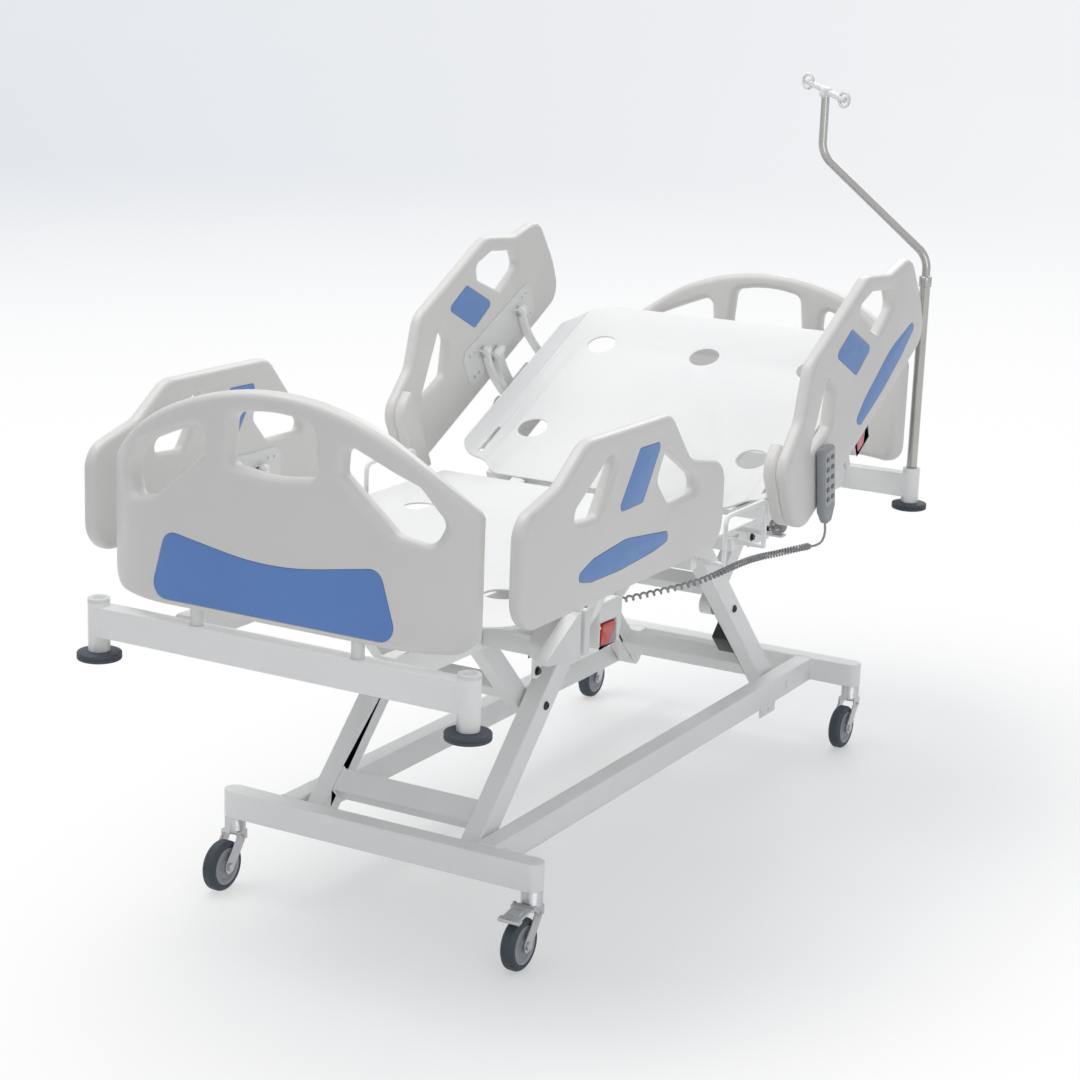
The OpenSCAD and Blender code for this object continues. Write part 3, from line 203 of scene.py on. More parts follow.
def place(shape, name, finish, body, replaces=(), smooth=40):
    """Turn a mesh or bmesh in metres into a finished piece that rides on a body, or on none yet."""
    mesh = mesh_from(shape, name) if isinstance(shape, bmesh.types.BMesh) else shape
    obj = bpy.data.objects.new(name, mesh)
    bpy.context.scene.collection.objects.link(obj)
    if len(mesh.materials):
        mesh.materials.clear()
    for each in finish if isinstance(finish, (list, tuple)) else (finish,):
        mesh.materials.append(MATERIALS[each])
    for polygon in mesh.polygons:
        polygon.use_smooth = True
    mesh.set_sharp_from_angle(angle=radians(smooth))
    if body:
        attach(obj, body)
    if replaces:
        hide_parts(*replaces)
    return obj


def mesh_from(bm, name):
    """Close a bmesh into mesh data, with its normals outward."""
    bmesh.ops.recalc_face_normals(bm, faces=bm.faces)
    mesh = bpy.data.meshes.new(name)
    bm.to_mesh(mesh)
    bm.free()
    return mesh


def apply_modifiers(obj):
    """Bake an object's modifiers into a new mesh and remove the helper object."""
    bpy.context.view_layer.update()
    graph = bpy.context.evaluated_depsgraph_get()
    mesh = bpy.data.meshes.new_from_object(obj.evaluated_get(graph))
    old = obj.data
    bpy.data.objects.remove(obj)
    if isinstance(old, bpy.types.Mesh):
        bpy.data.meshes.remove(old)
    else:
        bpy.data.curves.remove(old)
    return mesh


def helper(data, name="helper"):
    """A throwaway object that holds data while modifiers run."""
    obj = bpy.data.objects.new(name, data)
    bpy.context.scene.collection.objects.link(obj)
    return obj


def rounded_copy(node, finish, radius):
    """A copy of a solid with its hard edges rolled over, standing for that solid.

    The long edges of wide faces get the full radius, and narrower ones get less.
    """
    bm = bmesh.new()
    bm.from_mesh(frame["nodes"][node].data)
    bmesh.ops.remove_doubles(bm, verts=bm.verts, dist=0.00002)
    bmesh.ops.dissolve_limit(bm, angle_limit=radians(1.0), verts=bm.verts, edges=bm.edges)
    for share, segments in ((1.0, 4), (0.4, 2), (0.15, 1)):
        r = radius * share * MM
        hard = []
        for edge in bm.edges:
            if len(edge.link_faces) != 2 or edge.calc_face_angle(0) < radians(38):
                continue
            length = edge.calc_length()
            if length > 4 * r and all(f.calc_area() / length > 2.1 * r for f in edge.link_faces):
                hard.append(edge)
        if hard and r > 0.00015:
            bmesh.ops.bevel(bm, geom=hard, offset=r, offset_type="OFFSET", segments=segments, profile=0.5,
                            affect="EDGES", clamp_overlap=False, material=-1, loop_slide=True)
    mesh = bpy.data.meshes.new(node + "_round")
    bm.to_mesh(mesh)
    bm.free()
    return place(mesh, node + "_dressed", finish, body_of(node), (node,), 32)


def body_of(node):
    """Name of the body that holds a node."""
    return next(body for body, held in frame["record"]["behaviour"]["bodies"].items() if node in held)


def corner(a, b, c, r, n):
    """Points that round corner b between a and c."""
    a, b, c = Vector(a), Vector(b), Vector(c)
    if r == 0:
        return [tuple(b)]
    u, v = (a - b).normalized(), (c - b).normalized()
    half = acos(max(-1, min(1, u.dot(v)))) / 2
    o = b + (u + v).normalized() * (r / sin(half))
    s, e = b + u * (r / tan(half)) - o, b + v * (r / tan(half)) - o
    start = atan2(s.y, s.x)
    sweep = (atan2(e.y, e.x) - start + 3 * pi) % (2 * pi) - pi
    turns = [start + sweep * k / n for k in range(n + 1)]
    return [tuple(o + r * Vector((cos(turn), sin(turn)))) for turn in turns]


def soft(points, n=8):
    """A closed outline whose corners [x, y, r] are rounded."""
    result = []
    for i, (x, y, r) in enumerate(points):
        before, after = points[i - 1], points[(i + 1) % len(points)]
        result += corner(before[:2], (x, y), after[:2], r, n)
    return result


def slab(outline, holes, thickness, edge, segments, matrix=None):
    """A plate with rounded edges, from outlines in millimetres, lying in X and Y about Z = 0."""
    curve = bpy.data.curves.new("slab", "CURVE")
    curve.dimensions = "2D"
    curve.fill_mode = "BOTH"
    curve.extrude = (thickness / 2 - edge) * MM
    curve.bevel_depth = edge * MM
    curve.bevel_resolution = segments
    curve.offset = -edge * MM
    for points in [outline] + list(holes):
        spline = curve.splines.new("POLY")
        spline.points.add(len(points) - 1)
        for point, (x, y) in zip(spline.points, points):
            point.co = (x * MM, y * MM, 0, 1)
        spline.use_cyclic_u = True
    mesh = apply_modifiers(helper(curve))
    bm = bmesh.new()
    bm.from_mesh(mesh)
    bmesh.ops.remove_doubles(bm, verts=bm.verts, dist=0.00001)
    bpy.data.meshes.remove(mesh)
    return moved(bm, matrix)


def cut(bm, axis, places):
    """Cut a bmesh across an axis at places in metres, so that it can bend there."""
    for value in places:
        point, normal = [0, 0, 0], [0, 0, 0]
        point[axis], normal[axis] = value, 1
        geometry = bm.verts[:] + bm.edges[:] + bm.faces[:]
        bmesh.ops.bisect_plane(bm, geom=geometry, plane_co=point, plane_no=normal, dist=1e-7)


def carve(mesh, cutter):
    """A mesh with another one cut out of it."""
    body, tool = helper(mesh, "body"), helper(cutter, "tool")
    boolean = body.modifiers.new("cut", "BOOLEAN")
    boolean.operation = "DIFFERENCE"
    boolean.solver = "EXACT"
    boolean.object = tool
    result = apply_modifiers(body)
    bpy.data.objects.remove(tool)
    bpy.data.meshes.remove(cutter)
    return result


def lathe(profile, n, steps, matrix=None):
    """Turn a profile of [radius, height, corner] points in millimetres about Z.

    Each corner is rounded in n steps. The profile is closed where it misses the axis.
    """
    bm = bmesh.new()
    ring = [bm.verts.new((r * MM, 0, z * MM)) for r, z in rolled(profile, n)]
    edges = [bm.edges.new(pair) for pair in zip(ring, ring[1:])]
    if profile[0][0] > 0 or profile[-1][0] > 0:
        edges.append(bm.edges.new((ring[-1], ring[0])))
    bmesh.ops.spin(bm, geom=ring + edges, axis=(0, 0, 1), cent=(0, 0, 0), steps=steps, angle=2 * pi,
                   use_merge=True, use_duplicate=False)
    bmesh.ops.remove_doubles(bm, verts=bm.verts, dist=1e-6)
    return moved(bm, matrix)


def rolled(profile, n):
    """Round the corners [r, z, radius] of a lathe profile that stays open."""
    result = [profile[0][:2]]
    for i in range(1, len(profile) - 1):
        result += corner(profile[i - 1][:2], profile[i][:2], profile[i + 1][:2], profile[i][2], n)
    return result + [profile[-1][:2]]


def tube(points, radius, sides=12, closed=False):
    """A round tube along points in metres, with one radius or one at each point."""
    curve = bpy.data.curves.new("tube", "CURVE")
    curve.dimensions = "3D"
    curve.bevel_depth = 1
    curve.bevel_resolution = (sides - 4) // 2
    curve.use_fill_caps = not closed
    line = curve.splines.new("POLY")
    line.points.add(len(points) - 1)
    for i, (point, where) in enumerate(zip(line.points, points)):
        point.co = (*where, 1)
        point.radius = radius[i] if hasattr(radius, "__len__") else radius
    line.use_cyclic_u = closed
    line.use_smooth = True
    mesh = apply_modifiers(helper(curve))
    bm = bmesh.new()
    bm.from_mesh(mesh)
    bpy.data.meshes.remove(mesh)
    bmesh.ops.remove_doubles(bm, verts=bm.verts, dist=1e-6)
    return bm


def spline(points, m=8):
    """A smooth line through points, m steps between each pair."""
    p = [Vector(q) for q in points]
    result = []
    for i in range(len(p) - 1):
        a, b, c, d = p[max(i - 1, 0)], p[i], p[i + 1], p[min(i + 2, len(p) - 1)]
        for k in range(m):
            t = k / m
            result.append(0.5 * (2 * b + (c - a) * t + (2 * a - 5 * b + 4 * c - d) * t * t
                                 + (3 * b - a - 3 * c + d) * t ** 3))
    return result + [p[-1]]


def fillet(points, r, n=8):
    """A path in metres whose inner corners are rounded to radius r."""
    p = [Vector(q) for q in points]
    result = [p[0]]
    for a, b, c in zip(p, p[1:], p[2:]):
        u, v = (a - b).normalized(), (c - b).normalized()
        half = u.angle(v) / 2
        middle = b + (u + v).normalized() * (r / sin(half))
        start, end = b + u * (r / tan(half)) - middle, b + v * (r / tan(half)) - middle
        swing = start.angle(end)
        for k in range(n + 1):
            f = k / n
            result.append(middle + (sin((1 - f) * swing) * start + sin(f * swing) * end) / sin(swing))
    return result + [p[-1]]


def block(low, high, edge=1.5, segments=3, matrix=None):
    """A box with rolled edges between two corners in millimetres."""
    bm = bmesh.new()
    bmesh.ops.create_cube(bm, size=1)
    size = [abs(h - l) * MM for l, h in zip(low, high)]
    middle = [(h + l) / 2 * MM for l, h in zip(low, high)]
    bmesh.ops.scale(bm, vec=size, verts=bm.verts)
    if edge:
        bmesh.ops.bevel(bm, geom=bm.edges[:], offset=min([edge * MM] + [s * 0.45 for s in size]),
                        segments=segments, profile=0.5, affect="EDGES")
    bmesh.ops.translate(bm, vec=middle, verts=bm.verts)
    return moved(bm, matrix)


def merge(*meshes):
    """Several bmeshes in one."""
    result = bmesh.new()
    for bm in meshes:
        data = bpy.data.meshes.new("part")
        bm.to_mesh(data)
        bm.free()
        result.from_mesh(data)
        bpy.data.meshes.remove(data)
    return result


def moved(bm, matrix):
    """The same bmesh after a transform, if there is one."""
    if matrix is not None:
        bmesh.ops.transform(bm, matrix=matrix, verts=bm.verts)
    return bm


def paint(bm, index):
    """Give every face of a bmesh one material number."""
    for face in bm.faces:
        face.material_index = index
    return bm


def shift(x, y, z):
    """Matrix that moves a piece by millimetres."""
    return Matrix.Translation(Vector((x, y, z)) * MM)


def turned(axis, origin):
    """Matrix that stands a lathe's Z along an axis at an origin in millimetres."""
    turn = Vector((0, 0, 1)).rotation_difference(Vector(axis))
    return shift(*origin) @ turn.to_matrix().to_4x4()


def bolt(axis, origin, size=13.0, height=6.0, washer=True):
    """A hexagon bolt head on its washer, pointing along an axis."""
    head = bmesh.new()
    bmesh.ops.create_cone(head, cap_ends=True, segments=6, radius1=size / 2 / cos(pi / 6) * MM,
                          radius2=size / 2 / cos(pi / 6) * MM, depth=height * MM)
    bmesh.ops.bevel(head, geom=head.edges[:], offset=0.0006, segments=2, affect="EDGES")
    bmesh.ops.translate(head, vec=(0, 0, (height / 2 + (1.2 if washer else 0)) * MM), verts=head.verts)
    parts = [head]
    if washer:
        r = size * 0.78
        parts.append(lathe([[0, 0, 0], [r, 0, 0.3], [r, 1.6, 0.5], [0, 1.6, 0]], 2, 28))
    return moved(merge(*parts), turned(axis, origin))


def button_bolt(axis, origin, r=7.0, height=4.0):
    """A round-headed bolt with a socket in it."""
    profile = [[0, height * 0.45, 0], [r * 0.42, height * 0.45, 0.3], [r * 0.45, height, 0.4],
               [r * 0.75, height * 0.96, 1], [r, height * 0.35, 1.2], [r, 0, 0.1], [0, 0, 0]]
    return lathe(profile, 2, 24, turned(axis, origin))


def on_back(x, s, h):
    """A point on the backrest, along it and above its sheet, as a point of the bed in millimetres."""
    y, z = SEAM[0] + s, SEAM[1] + h
    c, n = cos(BACK_ANGLE), sin(BACK_ANGLE)
    return Vector((x, BACK_SEAM[0] + y * c - z * n, BACK_SEAM[1] + y * n + z * c))


def rail_frame(head, side):
    """Matrix from a rail's own axes (outward, along, up), in metres, to the bed."""
    rail = HEAD_RAIL if head else FOOT_RAIL
    origin = on_back(0, rail["c"], 0) if head else Vector((0, rail["c"], DECK_Z))
    tilt = Matrix.Rotation(BACK_ANGLE if head else 0, 4, "X")
    return shift(*origin) @ tilt @ Matrix.Diagonal((side, 1, 1, 1))


RAILS = {"fl": (False, -1), "fr": (False, 1), "hl": (True, -1), "hr": (True, 1)}


# ---------------------------------------------------------------- base and castors

def make_base():
    """Base frame, castors, brake pedals and pivot pins."""
    rounded_copy("base_frame", "powder", bpy.context.scene.bed_settings.tube_edge / MM)
    rounded_copy("base_pivot_pins", "powder", 1.2)
    for key in ("fl", "fr", "rl", "rr"):
        make_castor(key)
    for key in ("fr", "rl"):
        make_pedal(key)
    make_base_welds()


def castor_place(key):
    """Middle of a castor's wheel, in millimetres."""
    low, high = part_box("castor_wheel_" + key)
    return [(l + h) / 2 / MM for l, h in zip(low, high)]


def make_castor(key):
    """One castor: dressed fork, and a wheel with tyre, hub and axle bolt."""
    x, y, z = castor_place(key)
    rounded_copy("castor_fork_" + key, "zinc", 1.2)
    tyre = paint(lathe([[34, -11, 0], [37, -14, 1.5], [44, -14.6, 4], [51, -9, 7], [51, 9, 7],
                        [44, 14.6, 4], [37, 14, 1.5], [34, 11, 0]], 5, 72), 0)
    face = [[5.1, 14.8, 0.1], [11, 14.8, 0.8], [12.5, 11.5, 1.5], [27, 9.6, 2], [29.5, 12.6, 1],
            [34.3, 12.6, 0.8]]
    hub = paint(lathe(face + [[r, -h, q] for r, h, q in face[::-1]], 3, 64), 1)
    ring = paint(lathe([[34.2, -12, 0], [36.4, -13.9, 0.6], [37.4, -13.9, 0.4], [37.4, 13.9, 0.4],
                        [36.4, 13.9, 0.6], [34.2, 12, 0]], 2, 64), 2)
    wheel = moved(merge(tyre, hub, ring), turned((1, 0, 0), (x, y, z)))
    place(wheel, "castor_wheel_dressed_" + key, ["rubber", "hub", "hub_ring"],
          "castor_wheel_" + key, ("castor_wheel_" + key,), 35)
    top = z + 65
    parts = [bolt((side, 0, 0), (x + side * 21.2, y, z), 15, 3.2, False) for side in (1, -1)]
    # swivel head: two pressed cups and a seal line
    cup = lathe([[0, 0, 0], [17, 0, 1], [20.2, 5, 3], [20.2, 13, 2], [20.8, 14, 0.6], [20.8, 17, 0.6],
                 [20.0, 18, 1], [20.0, 27, 3], [15, 29.6, 2], [0, 29.6, 0]], 3, 56)
    parts.append(moved(cup, turned((0, 0, 1), (x, y + SWIVEL_TRAIL, top - 1.5))))
    place(merge(*parts), "castor_trim_" + key, "zinc", "castor_fork_" + key)


def make_pedal(key):
    """Brake pedal of one castor, with its raised tread pad."""
    rounded_copy("brake_pedal_" + key, "zinc", 0.9)
    x, y, z = castor_place(key)
    run = Vector((0, -58, -10)).normalized()
    normal = Vector((0, 10, -58)).normalized() * -1
    start = Vector((x, y + SWIVEL_TRAIL - 26, z + 68)) + run * 20
    across = Vector((1, 0, 0))
    basis = Matrix((across, run, normal)).transposed().to_4x4()
    basis.translation = start * MM
    pad = block((-12, 0, 2.2), (12, 20, 5.2), 1.2, 3, basis)
    rim = block((-14.5, -2.5, 2.0), (14.5, 22.5, 3.4), 0.8, 2, basis)
    place(merge(pad, rim), "brake_pad_" + key, "zinc", "brake_pedal_" + key)


def make_base_welds():
    """Welded seams of the base where the side tubes meet the cross tubes."""
    seams = []
    for y in CROSS_FACES:
        for side in (-1, 1):
            for x in (205, 245):
                seams.append(bead([(side * x, y, 146), (side * x, y, 199)], 1.6))
            seams.append(bead([(side * 206, y, 200), (side * 244, y, 200)], 1.6))
    place(merge(*seams), "base_welds", "powder", "base")


def bead(points, r=1.8):
    """A lumpy painted weld bead along points in millimetres."""
    a, b = Vector(points[0]), Vector(points[-1])
    n = max(6, int((b - a).length / 2.2))
    line = [(a + (b - a) * k / n) * MM for k in range(n + 1)]
    size = [r * MM * (1 + 0.22 * sin(k * 2.1) + 0.12 * sin(k * 5.3)) for k in range(n + 1)]
    return tube(line, size, 8)


# ---------------------------------------------------------------- lift and frame

def make_lift():
    """Legs, links, carriages and their bolts."""
    for node in ("front_leg_frame", "rear_leg_frame", "front_link_frame", "rear_link_frame"):
        rounded_copy(node, "powder", 3.5)
    for node in ("front_carriage", "rear_carriage", "frame_pins"):
        rounded_copy(node, "zinc", 1.0)
    for body, y0, way in (("front_legs", FOOT_PIVOT_Y, 1), ("rear_legs", HEAD_PIVOT_Y, -1)):
        y, z = y0 + way * LEG_ARM * sin(LEG_LEAN), PIVOT_Z + LEG_ARM * cos(LEG_LEAN)
        parts = [button_bolt((side, 0, 0), (side * 197.6, y, z), 9, 5) for side in (-1, 1)]
        place(merge(*parts), body + "_bolts", "screw", body)
    # junction box on the inside of the near head-end leg
    tilt = shift(0, HEAD_PIVOT_Y, PIVOT_Z) @ Matrix.Rotation(LEG_LEAN, 4, "X")
    shell = block((114.5, -23.5, LEG_ARM - 176.5), (159.5, 23.5, LEG_ARM - 113.5), 5, 4, tilt)
    lid = block((113, -19, LEG_ARM - 171), (115.5, 19, LEG_ARM - 119), 1, 2, tilt)
    nut = [[0, 0, 0], [7, 0, 1], [7, 9, 1], [5, 13, 1], [0, 13, 0]]
    nuts = [lathe(nut, 2, 24, tilt @ turned((0, 0, -1), (x, 0, LEG_ARM - 176))) for x in (126, 147)]
    place(merge(shell, lid, *nuts), "junction_box", "black", "rear_legs")


def make_upper_frame():
    """Long members, end beams, corner discs, actuators and the control box."""
    for node, finish, radius in (
            ("upper_frame", "powder", 2.2), ("end_beams", "powder", 3.0), ("lift_actuators", "case", 2.5),
            ("backrest_actuator", "case", 2.0), ("leg_actuator", "case", 2.0), ("backrest_rod", "zinc", 1.0),
            ("leg_rod", "zinc", 1.0), ("control_box", "dark", 4.0), ("frame_rail_mounts", "cover", 4.0)):
        rounded_copy(node, finish, radius)
    make_discs()
    make_brackets()
    welds = []
    for sign in (-1, 1):
        for side in (-1, 1):
            y = sign * (BEAM_Y - 20)
            welds.append(bead([(side * 206, y, 648.5), (side * 235, y, 648.5)]))
            welds.append(bead([(side * 236, y, 600), (side * 236, y, 646)]))
            x = side * (SOCKET_X - 20)
            for edge in (-19, 19):
                welds.append(bead([(x, sign * BEAM_Y + edge, 594), (x, sign * BEAM_Y + edge, 646)]))
    place(merge(*welds), "frame_welds", "powder", "upper_frame")


def make_discs():
    """Four rubber bumper discs with a groove round each rim, and white rims on the free pole sockets."""
    disc = [[0, -18, 0], [34, -18, 1], [41.4, -15.5, 3], [41.8, -10, 1.5], [39.6, -8.8, 0.8],
            [41.8, -7.6, 1.5], [41.4, -2.4, 3], [35, -0.4, 1], [24, -0.2, 0.5], [22.5, -0.2, 0.5],
            [0, -0.2, 0]]
    rim = [[12.7, 650, 0], [12.7, 661, 0.8], [13.8, 662.4, 0.6], [19.6, 662.4, 1], [20.7, 660, 1],
           [20.7, 655, 0.5], [20.3, 653, 0]]
    corners = [(side * SOCKET_X, end * BEAM_Y, end) for end in (-1, 1) for side in (-1, 1)]
    discs = [lathe(disc, 4, 72, shift(x, y, 561 if end < 0 else 578)) for x, y, end in corners]
    place(merge(*discs), "bumper_discs_dressed", "rubber", "upper_frame",
          ("bumper_discs",), 35)
    # the last corner holds the pole and has no free socket
    rims = [lathe(rim, 3, 56, shift(x, y, 0)) for x, y, end in corners[:-1]]
    place(merge(*rims), "socket_rims", "white", "upper_frame")


def make_brackets():
    """Pivot brackets under the near and far members, with their bolts."""
    plate = soft([[-515, 598, 0], [-515, 488, 15], [-485, 488, 15], [-485, 598, 0]], 8)
    gusset = [(446, 597), (458, 553), (566, 553), (580, 597)]
    parts, bolts = [], []
    for side in (-1, 1):
        for outline in (plate, gusset):
            parts.append(slab(outline, [], 5, 1, 2, shift(side * 232.5, 0, 0) @ STAND))
        for y, z in ((-500, 504), (-500, 540), (-506, 575), (-470, 632), (470, 575), (555, 575)):
            bolts.append(bolt((side, 0, 0), (side * 235, y, z), 12, 5))
    place(merge(*parts), "member_brackets", "powder", "upper_frame")
    place(merge(*bolts), "bracket_bolts", "screw", "upper_frame")


# ---------------------------------------------------------------- platform

def make_platform():
    """Backrest and leg sections: sheets with rolled edges and the tubes under them."""
    for node, finish, radius in (
            ("backrest_sheet", "sheet", 1.3), ("leg_sheet", "sheet", 1.3), ("backrest_frame", "powder", 2.5),
            ("leg_section_frame", "powder", 2.5), ("backrest_rail_mounts", "cover", 4.0)):
        rounded_copy(node, finish, radius)


# ---------------------------------------------------------------- end boards

# Thickness, half width, half of the flat middle, radius and shortening of the wrapped ends, heights
BOARD = {"t": 40.0, "half": 397.0, "flat": 230.0, "r": 222.0, "wrap": 0.915, "bottom": 678.0, "top": 1092.0,
         "arch": 550.0}
GRIPS = [[[-95, 955, 20], [-86, 1046, 22], [0, 1062, 300], [86, 1046, 22], [95, 955, 20], [0, 943, 300]],
         [[144, 970, 12], [148, 1024, 18], [296, 966, 30], [344, 905, 26], [322, 864, 24], [256, 878, 40]]]
BOARD_INLAY = [[-266, 690, 28], [-228, 820, 26], [0, 782, 600], [228, 820, 26], [266, 690, 28]]


def board_outline():
    """Outline of an end board: straight sides, round lower corners and an arched top."""
    b = BOARD
    end = asin(b["half"] / b["arch"]) - radians(0.6)
    side = b["top"] - b["arch"] * (1 - cos(end)) - 10
    points = corner((-b["half"], 878), (-b["half"], b["bottom"]), (0, b["bottom"]), 45, 10)
    points += corner((0, b["bottom"]), (b["half"], b["bottom"]), (b["half"], 878), 45, 10)
    points.append((b["half"], side))
    points += [(b["arch"] * sin(end * k / 24), b["top"] - b["arch"] * (1 - cos(end * k / 24)))
               for k in range(24, -25, -1)]
    points.append((-b["half"], side))
    return points


def bend_lines(count):
    """Places in metres, on both sides of the middle, where a board can bend."""
    return [k * 0.0139 for k in range(-count, count + 1)]


def wrap(bm, skin=0.0):
    """Bend a flat board, lying in X and Y, upright with its ends wrapped towards +Y."""
    b = BOARD
    for v in bm.verts:
        x, z, t = v.co.x / MM, v.co.y / MM, v.co.z / MM + skin
        side = 1 if x >= 0 else -1
        over = max(0.0, abs(x) - b["flat"]) * b["wrap"]
        a = asin(min(0.999, over / b["r"]))
        v.co = Vector((side * (min(abs(x), b["flat"]) + over + t * sin(a)),
                       b["r"] * (1 - cos(a)) - t * cos(a), z)) * MM
    return bm


def make_boards():
    """Footboard and headboard, moulded with thick rolled edges, hand grips and a blue panel."""
    mirrored = [[-x, y, r] for x, y, r in GRIPS[1]][::-1]
    holes = [soft(g, 10) for g in (GRIPS[0], GRIPS[1], mirrored)]
    for node, sign in (("footboard", 1), ("headboard", -1)):
        bm = slab(board_outline(), holes, BOARD["t"], bpy.context.scene.bed_settings.board_edge / MM, 6)
        cut(bm, 0, bend_lines(28))
        cut(bm, 1, [0.72, 0.78, 0.84, 0.90])
        mesh = mesh_from(wrap(bm), node + "_shell")
        recess = slab(soft([[x, y, r + 1] for x, y, r in BOARD_INLAY], 12), [], 12, 0.4, 1)
        cut(recess, 0, bend_lines(20))
        mesh = carve(mesh, mesh_from(wrap(recess, BOARD["t"] / 2 + 4), "recess"))
        flat = shift(0, -sign * BEAM_Y, 0) @ Matrix.Diagonal((1, sign, 1, 1))
        mesh.transform(flat)
        if sign < 0:
            mesh.flip_normals()
        place(mesh, node + "_dressed", "board", node, (node,), 32)
        inlay = slab(inset(soft(BOARD_INLAY, 12), 1.2), [], 3.2, 0.9, 3)
        cut(inlay, 0, bend_lines(20))
        inlay = moved(wrap(inlay, BOARD["t"] / 2 - 1.6), flat)
        place(inlay, node + "_inlay", "blue_foot", node)
        post = [[0, 606, 0], [11.9, 606, 1], [11.9, 684, 0], [0, 684, 0]]
        posts = [lathe(post, 2, 40, shift(side * 173, -sign * BEAM_Y, 0)) for side in (-1, 1)]
        place(merge(*posts), node + "_posts", "white", node)


def inset(points, d):
    """An outline moved inward by d."""
    result = []
    count = len(points)
    area = sum(points[i - 1][0] * points[i][1] - points[i][0] * points[i - 1][1] for i in range(count))
    way = 1 if area > 0 else -1
    for i in range(count):
        a, b, c = Vector(points[i - 1]), Vector(points[i]), Vector(points[(i + 1) % count])
        u, v = (b - a).normalized(), (c - b).normalized()
        n = Vector((-(u.y + v.y), u.x + v.x))
        if n.length < 1e-6:
            n = Vector((-u.y, u.x))
        n.normalize()
        result.append(tuple(b + n * d * way))
    return result


# ---------------------------------------------------------------- side rails

FOOT_SHAPE = {
    "outline": [[-413, 25, 60], [-413, 225, 55], [-280, 262, 60], [-190, 325, 70], [130, 325, 50],
                [220, 225, 70], [373, 195, 50], [373, 25, 60]],
    "holes": [[[-75, 284, 14], [-112, 284, 20], [-262, 188, 14], [-148, 181, 16]],
              [[112, 262, 16], [240, 188, 20], [262, 156, 14], [128, 156, 30], [78, 208, 16]]],
    "plug": [[0, 281, 9], [86, 280, 9], [18, 179, 9], [-77, 177, 9]],
    "lens": [[-240, 84, 9], [-165, 110, 80], [-40, 122, 200], [124, 104, 9], [128, 86, 9], [70, 77, 90],
             [-60, 69, 300], [-170, 70, 60]],
}
HEAD_SHAPE = {
    "outline": [[-462, 2, 70], [-468, 185, 50], [-355, 230, 60], [-275, 318, 60], [45, 334, 70],
                [160, 268, 60], [275, 245, 50], [297, 120, 200], [292, 22, 55], [120, 16, 200]],
    "holes": [[[-359, 134, 10], [-240, 134, 14], [-193, 202, 20], [-212, 252, 14]],
              [[-22, 296, 16], [54, 288, 16], [142, 238, 20], [146, 192, 20], [50, 180, 20], [-30, 262, 14]]],
    "plug": [[-170, 270, 9], [-79, 278, 9], [2, 180, 9], [-88, 168, 9]],
    "lens": [[-122, 68, 9], [-60, 88, 60], [100, 112, 300], [228, 99, 8], [240, 82, 8], [150, 62, 90],
             [30, 48, 300], [-100, 46, 16]],
}


def make_rails():
    """Side rail panels with their inlays, and the arms, links and red releases."""
    for key, (head, side) in RAILS.items():
        make_panel(key, head, side)
        rounded_copy("rail_arms_" + key, "powder", 1.6)
        rounded_copy("rail_link_" + key, "powder", 2.0)
        rounded_copy("rail_release_" + key, "red", 1.6)


def make_panel(key, head, side):
    """One moulded panel: rolled edges, grips, and the blue plug and lens."""
    shape = HEAD_SHAPE if head else FOOT_SHAPE
    x0 = (HEAD_RAIL if head else FOOT_RAIL)["x"]
    outer = RAIL_T / 2
    place_rail = rail_frame(head, side)
    out = place_rail @ shift(x0 + outer, 0, 0) @ STAND
    body = "rail_panel_" + key
    holes = [soft(h, 10) for h in shape["holes"]]
    plug = soft(shape["plug"], 8)
    bm = slab(soft(shape["outline"], 12), holes, RAIL_T, bpy.context.scene.bed_settings.rail_edge / MM, 6)
    mesh = mesh_from(bm, body + "_shell")
    lens = soft(shape["lens"], 10)
    recess = slab(inset(lens, -1.4), [], 8, 0.3, 1)
    mesh = carve(mesh, mesh_from(moved(recess, shift(0, 0, outer + 1.8)), "recess"))
    for face in (1, -1):
        seat = slab(inset(plug, -1.4), [], 8, 0.3, 1)
        mesh = carve(mesh, mesh_from(moved(seat, shift(0, 0, face * (outer + 2))), "seat"))
    mesh.transform(out)
    if side < 0:
        mesh.flip_normals()
    place(mesh, body + "_dressed", "board", body, (body,), 32)
    blues = [slab(lens, [], 3.2, 0.9, 3, shift(0, 0, outer - 1.5))]
    for face in (1, -1):
        blues.append(slab(plug, [], 3.2, 0.9, 3, shift(0, 0, face * (outer - 1.5))))
    place(moved(merge(*blues), out), body + "_inlays", "blue_rail", body)
    make_plate(body, x0, place_rail, out)
    if head:
        make_rim(body, shape, place_rail @ shift(x0 - 12, 0, 0) @ STAND)


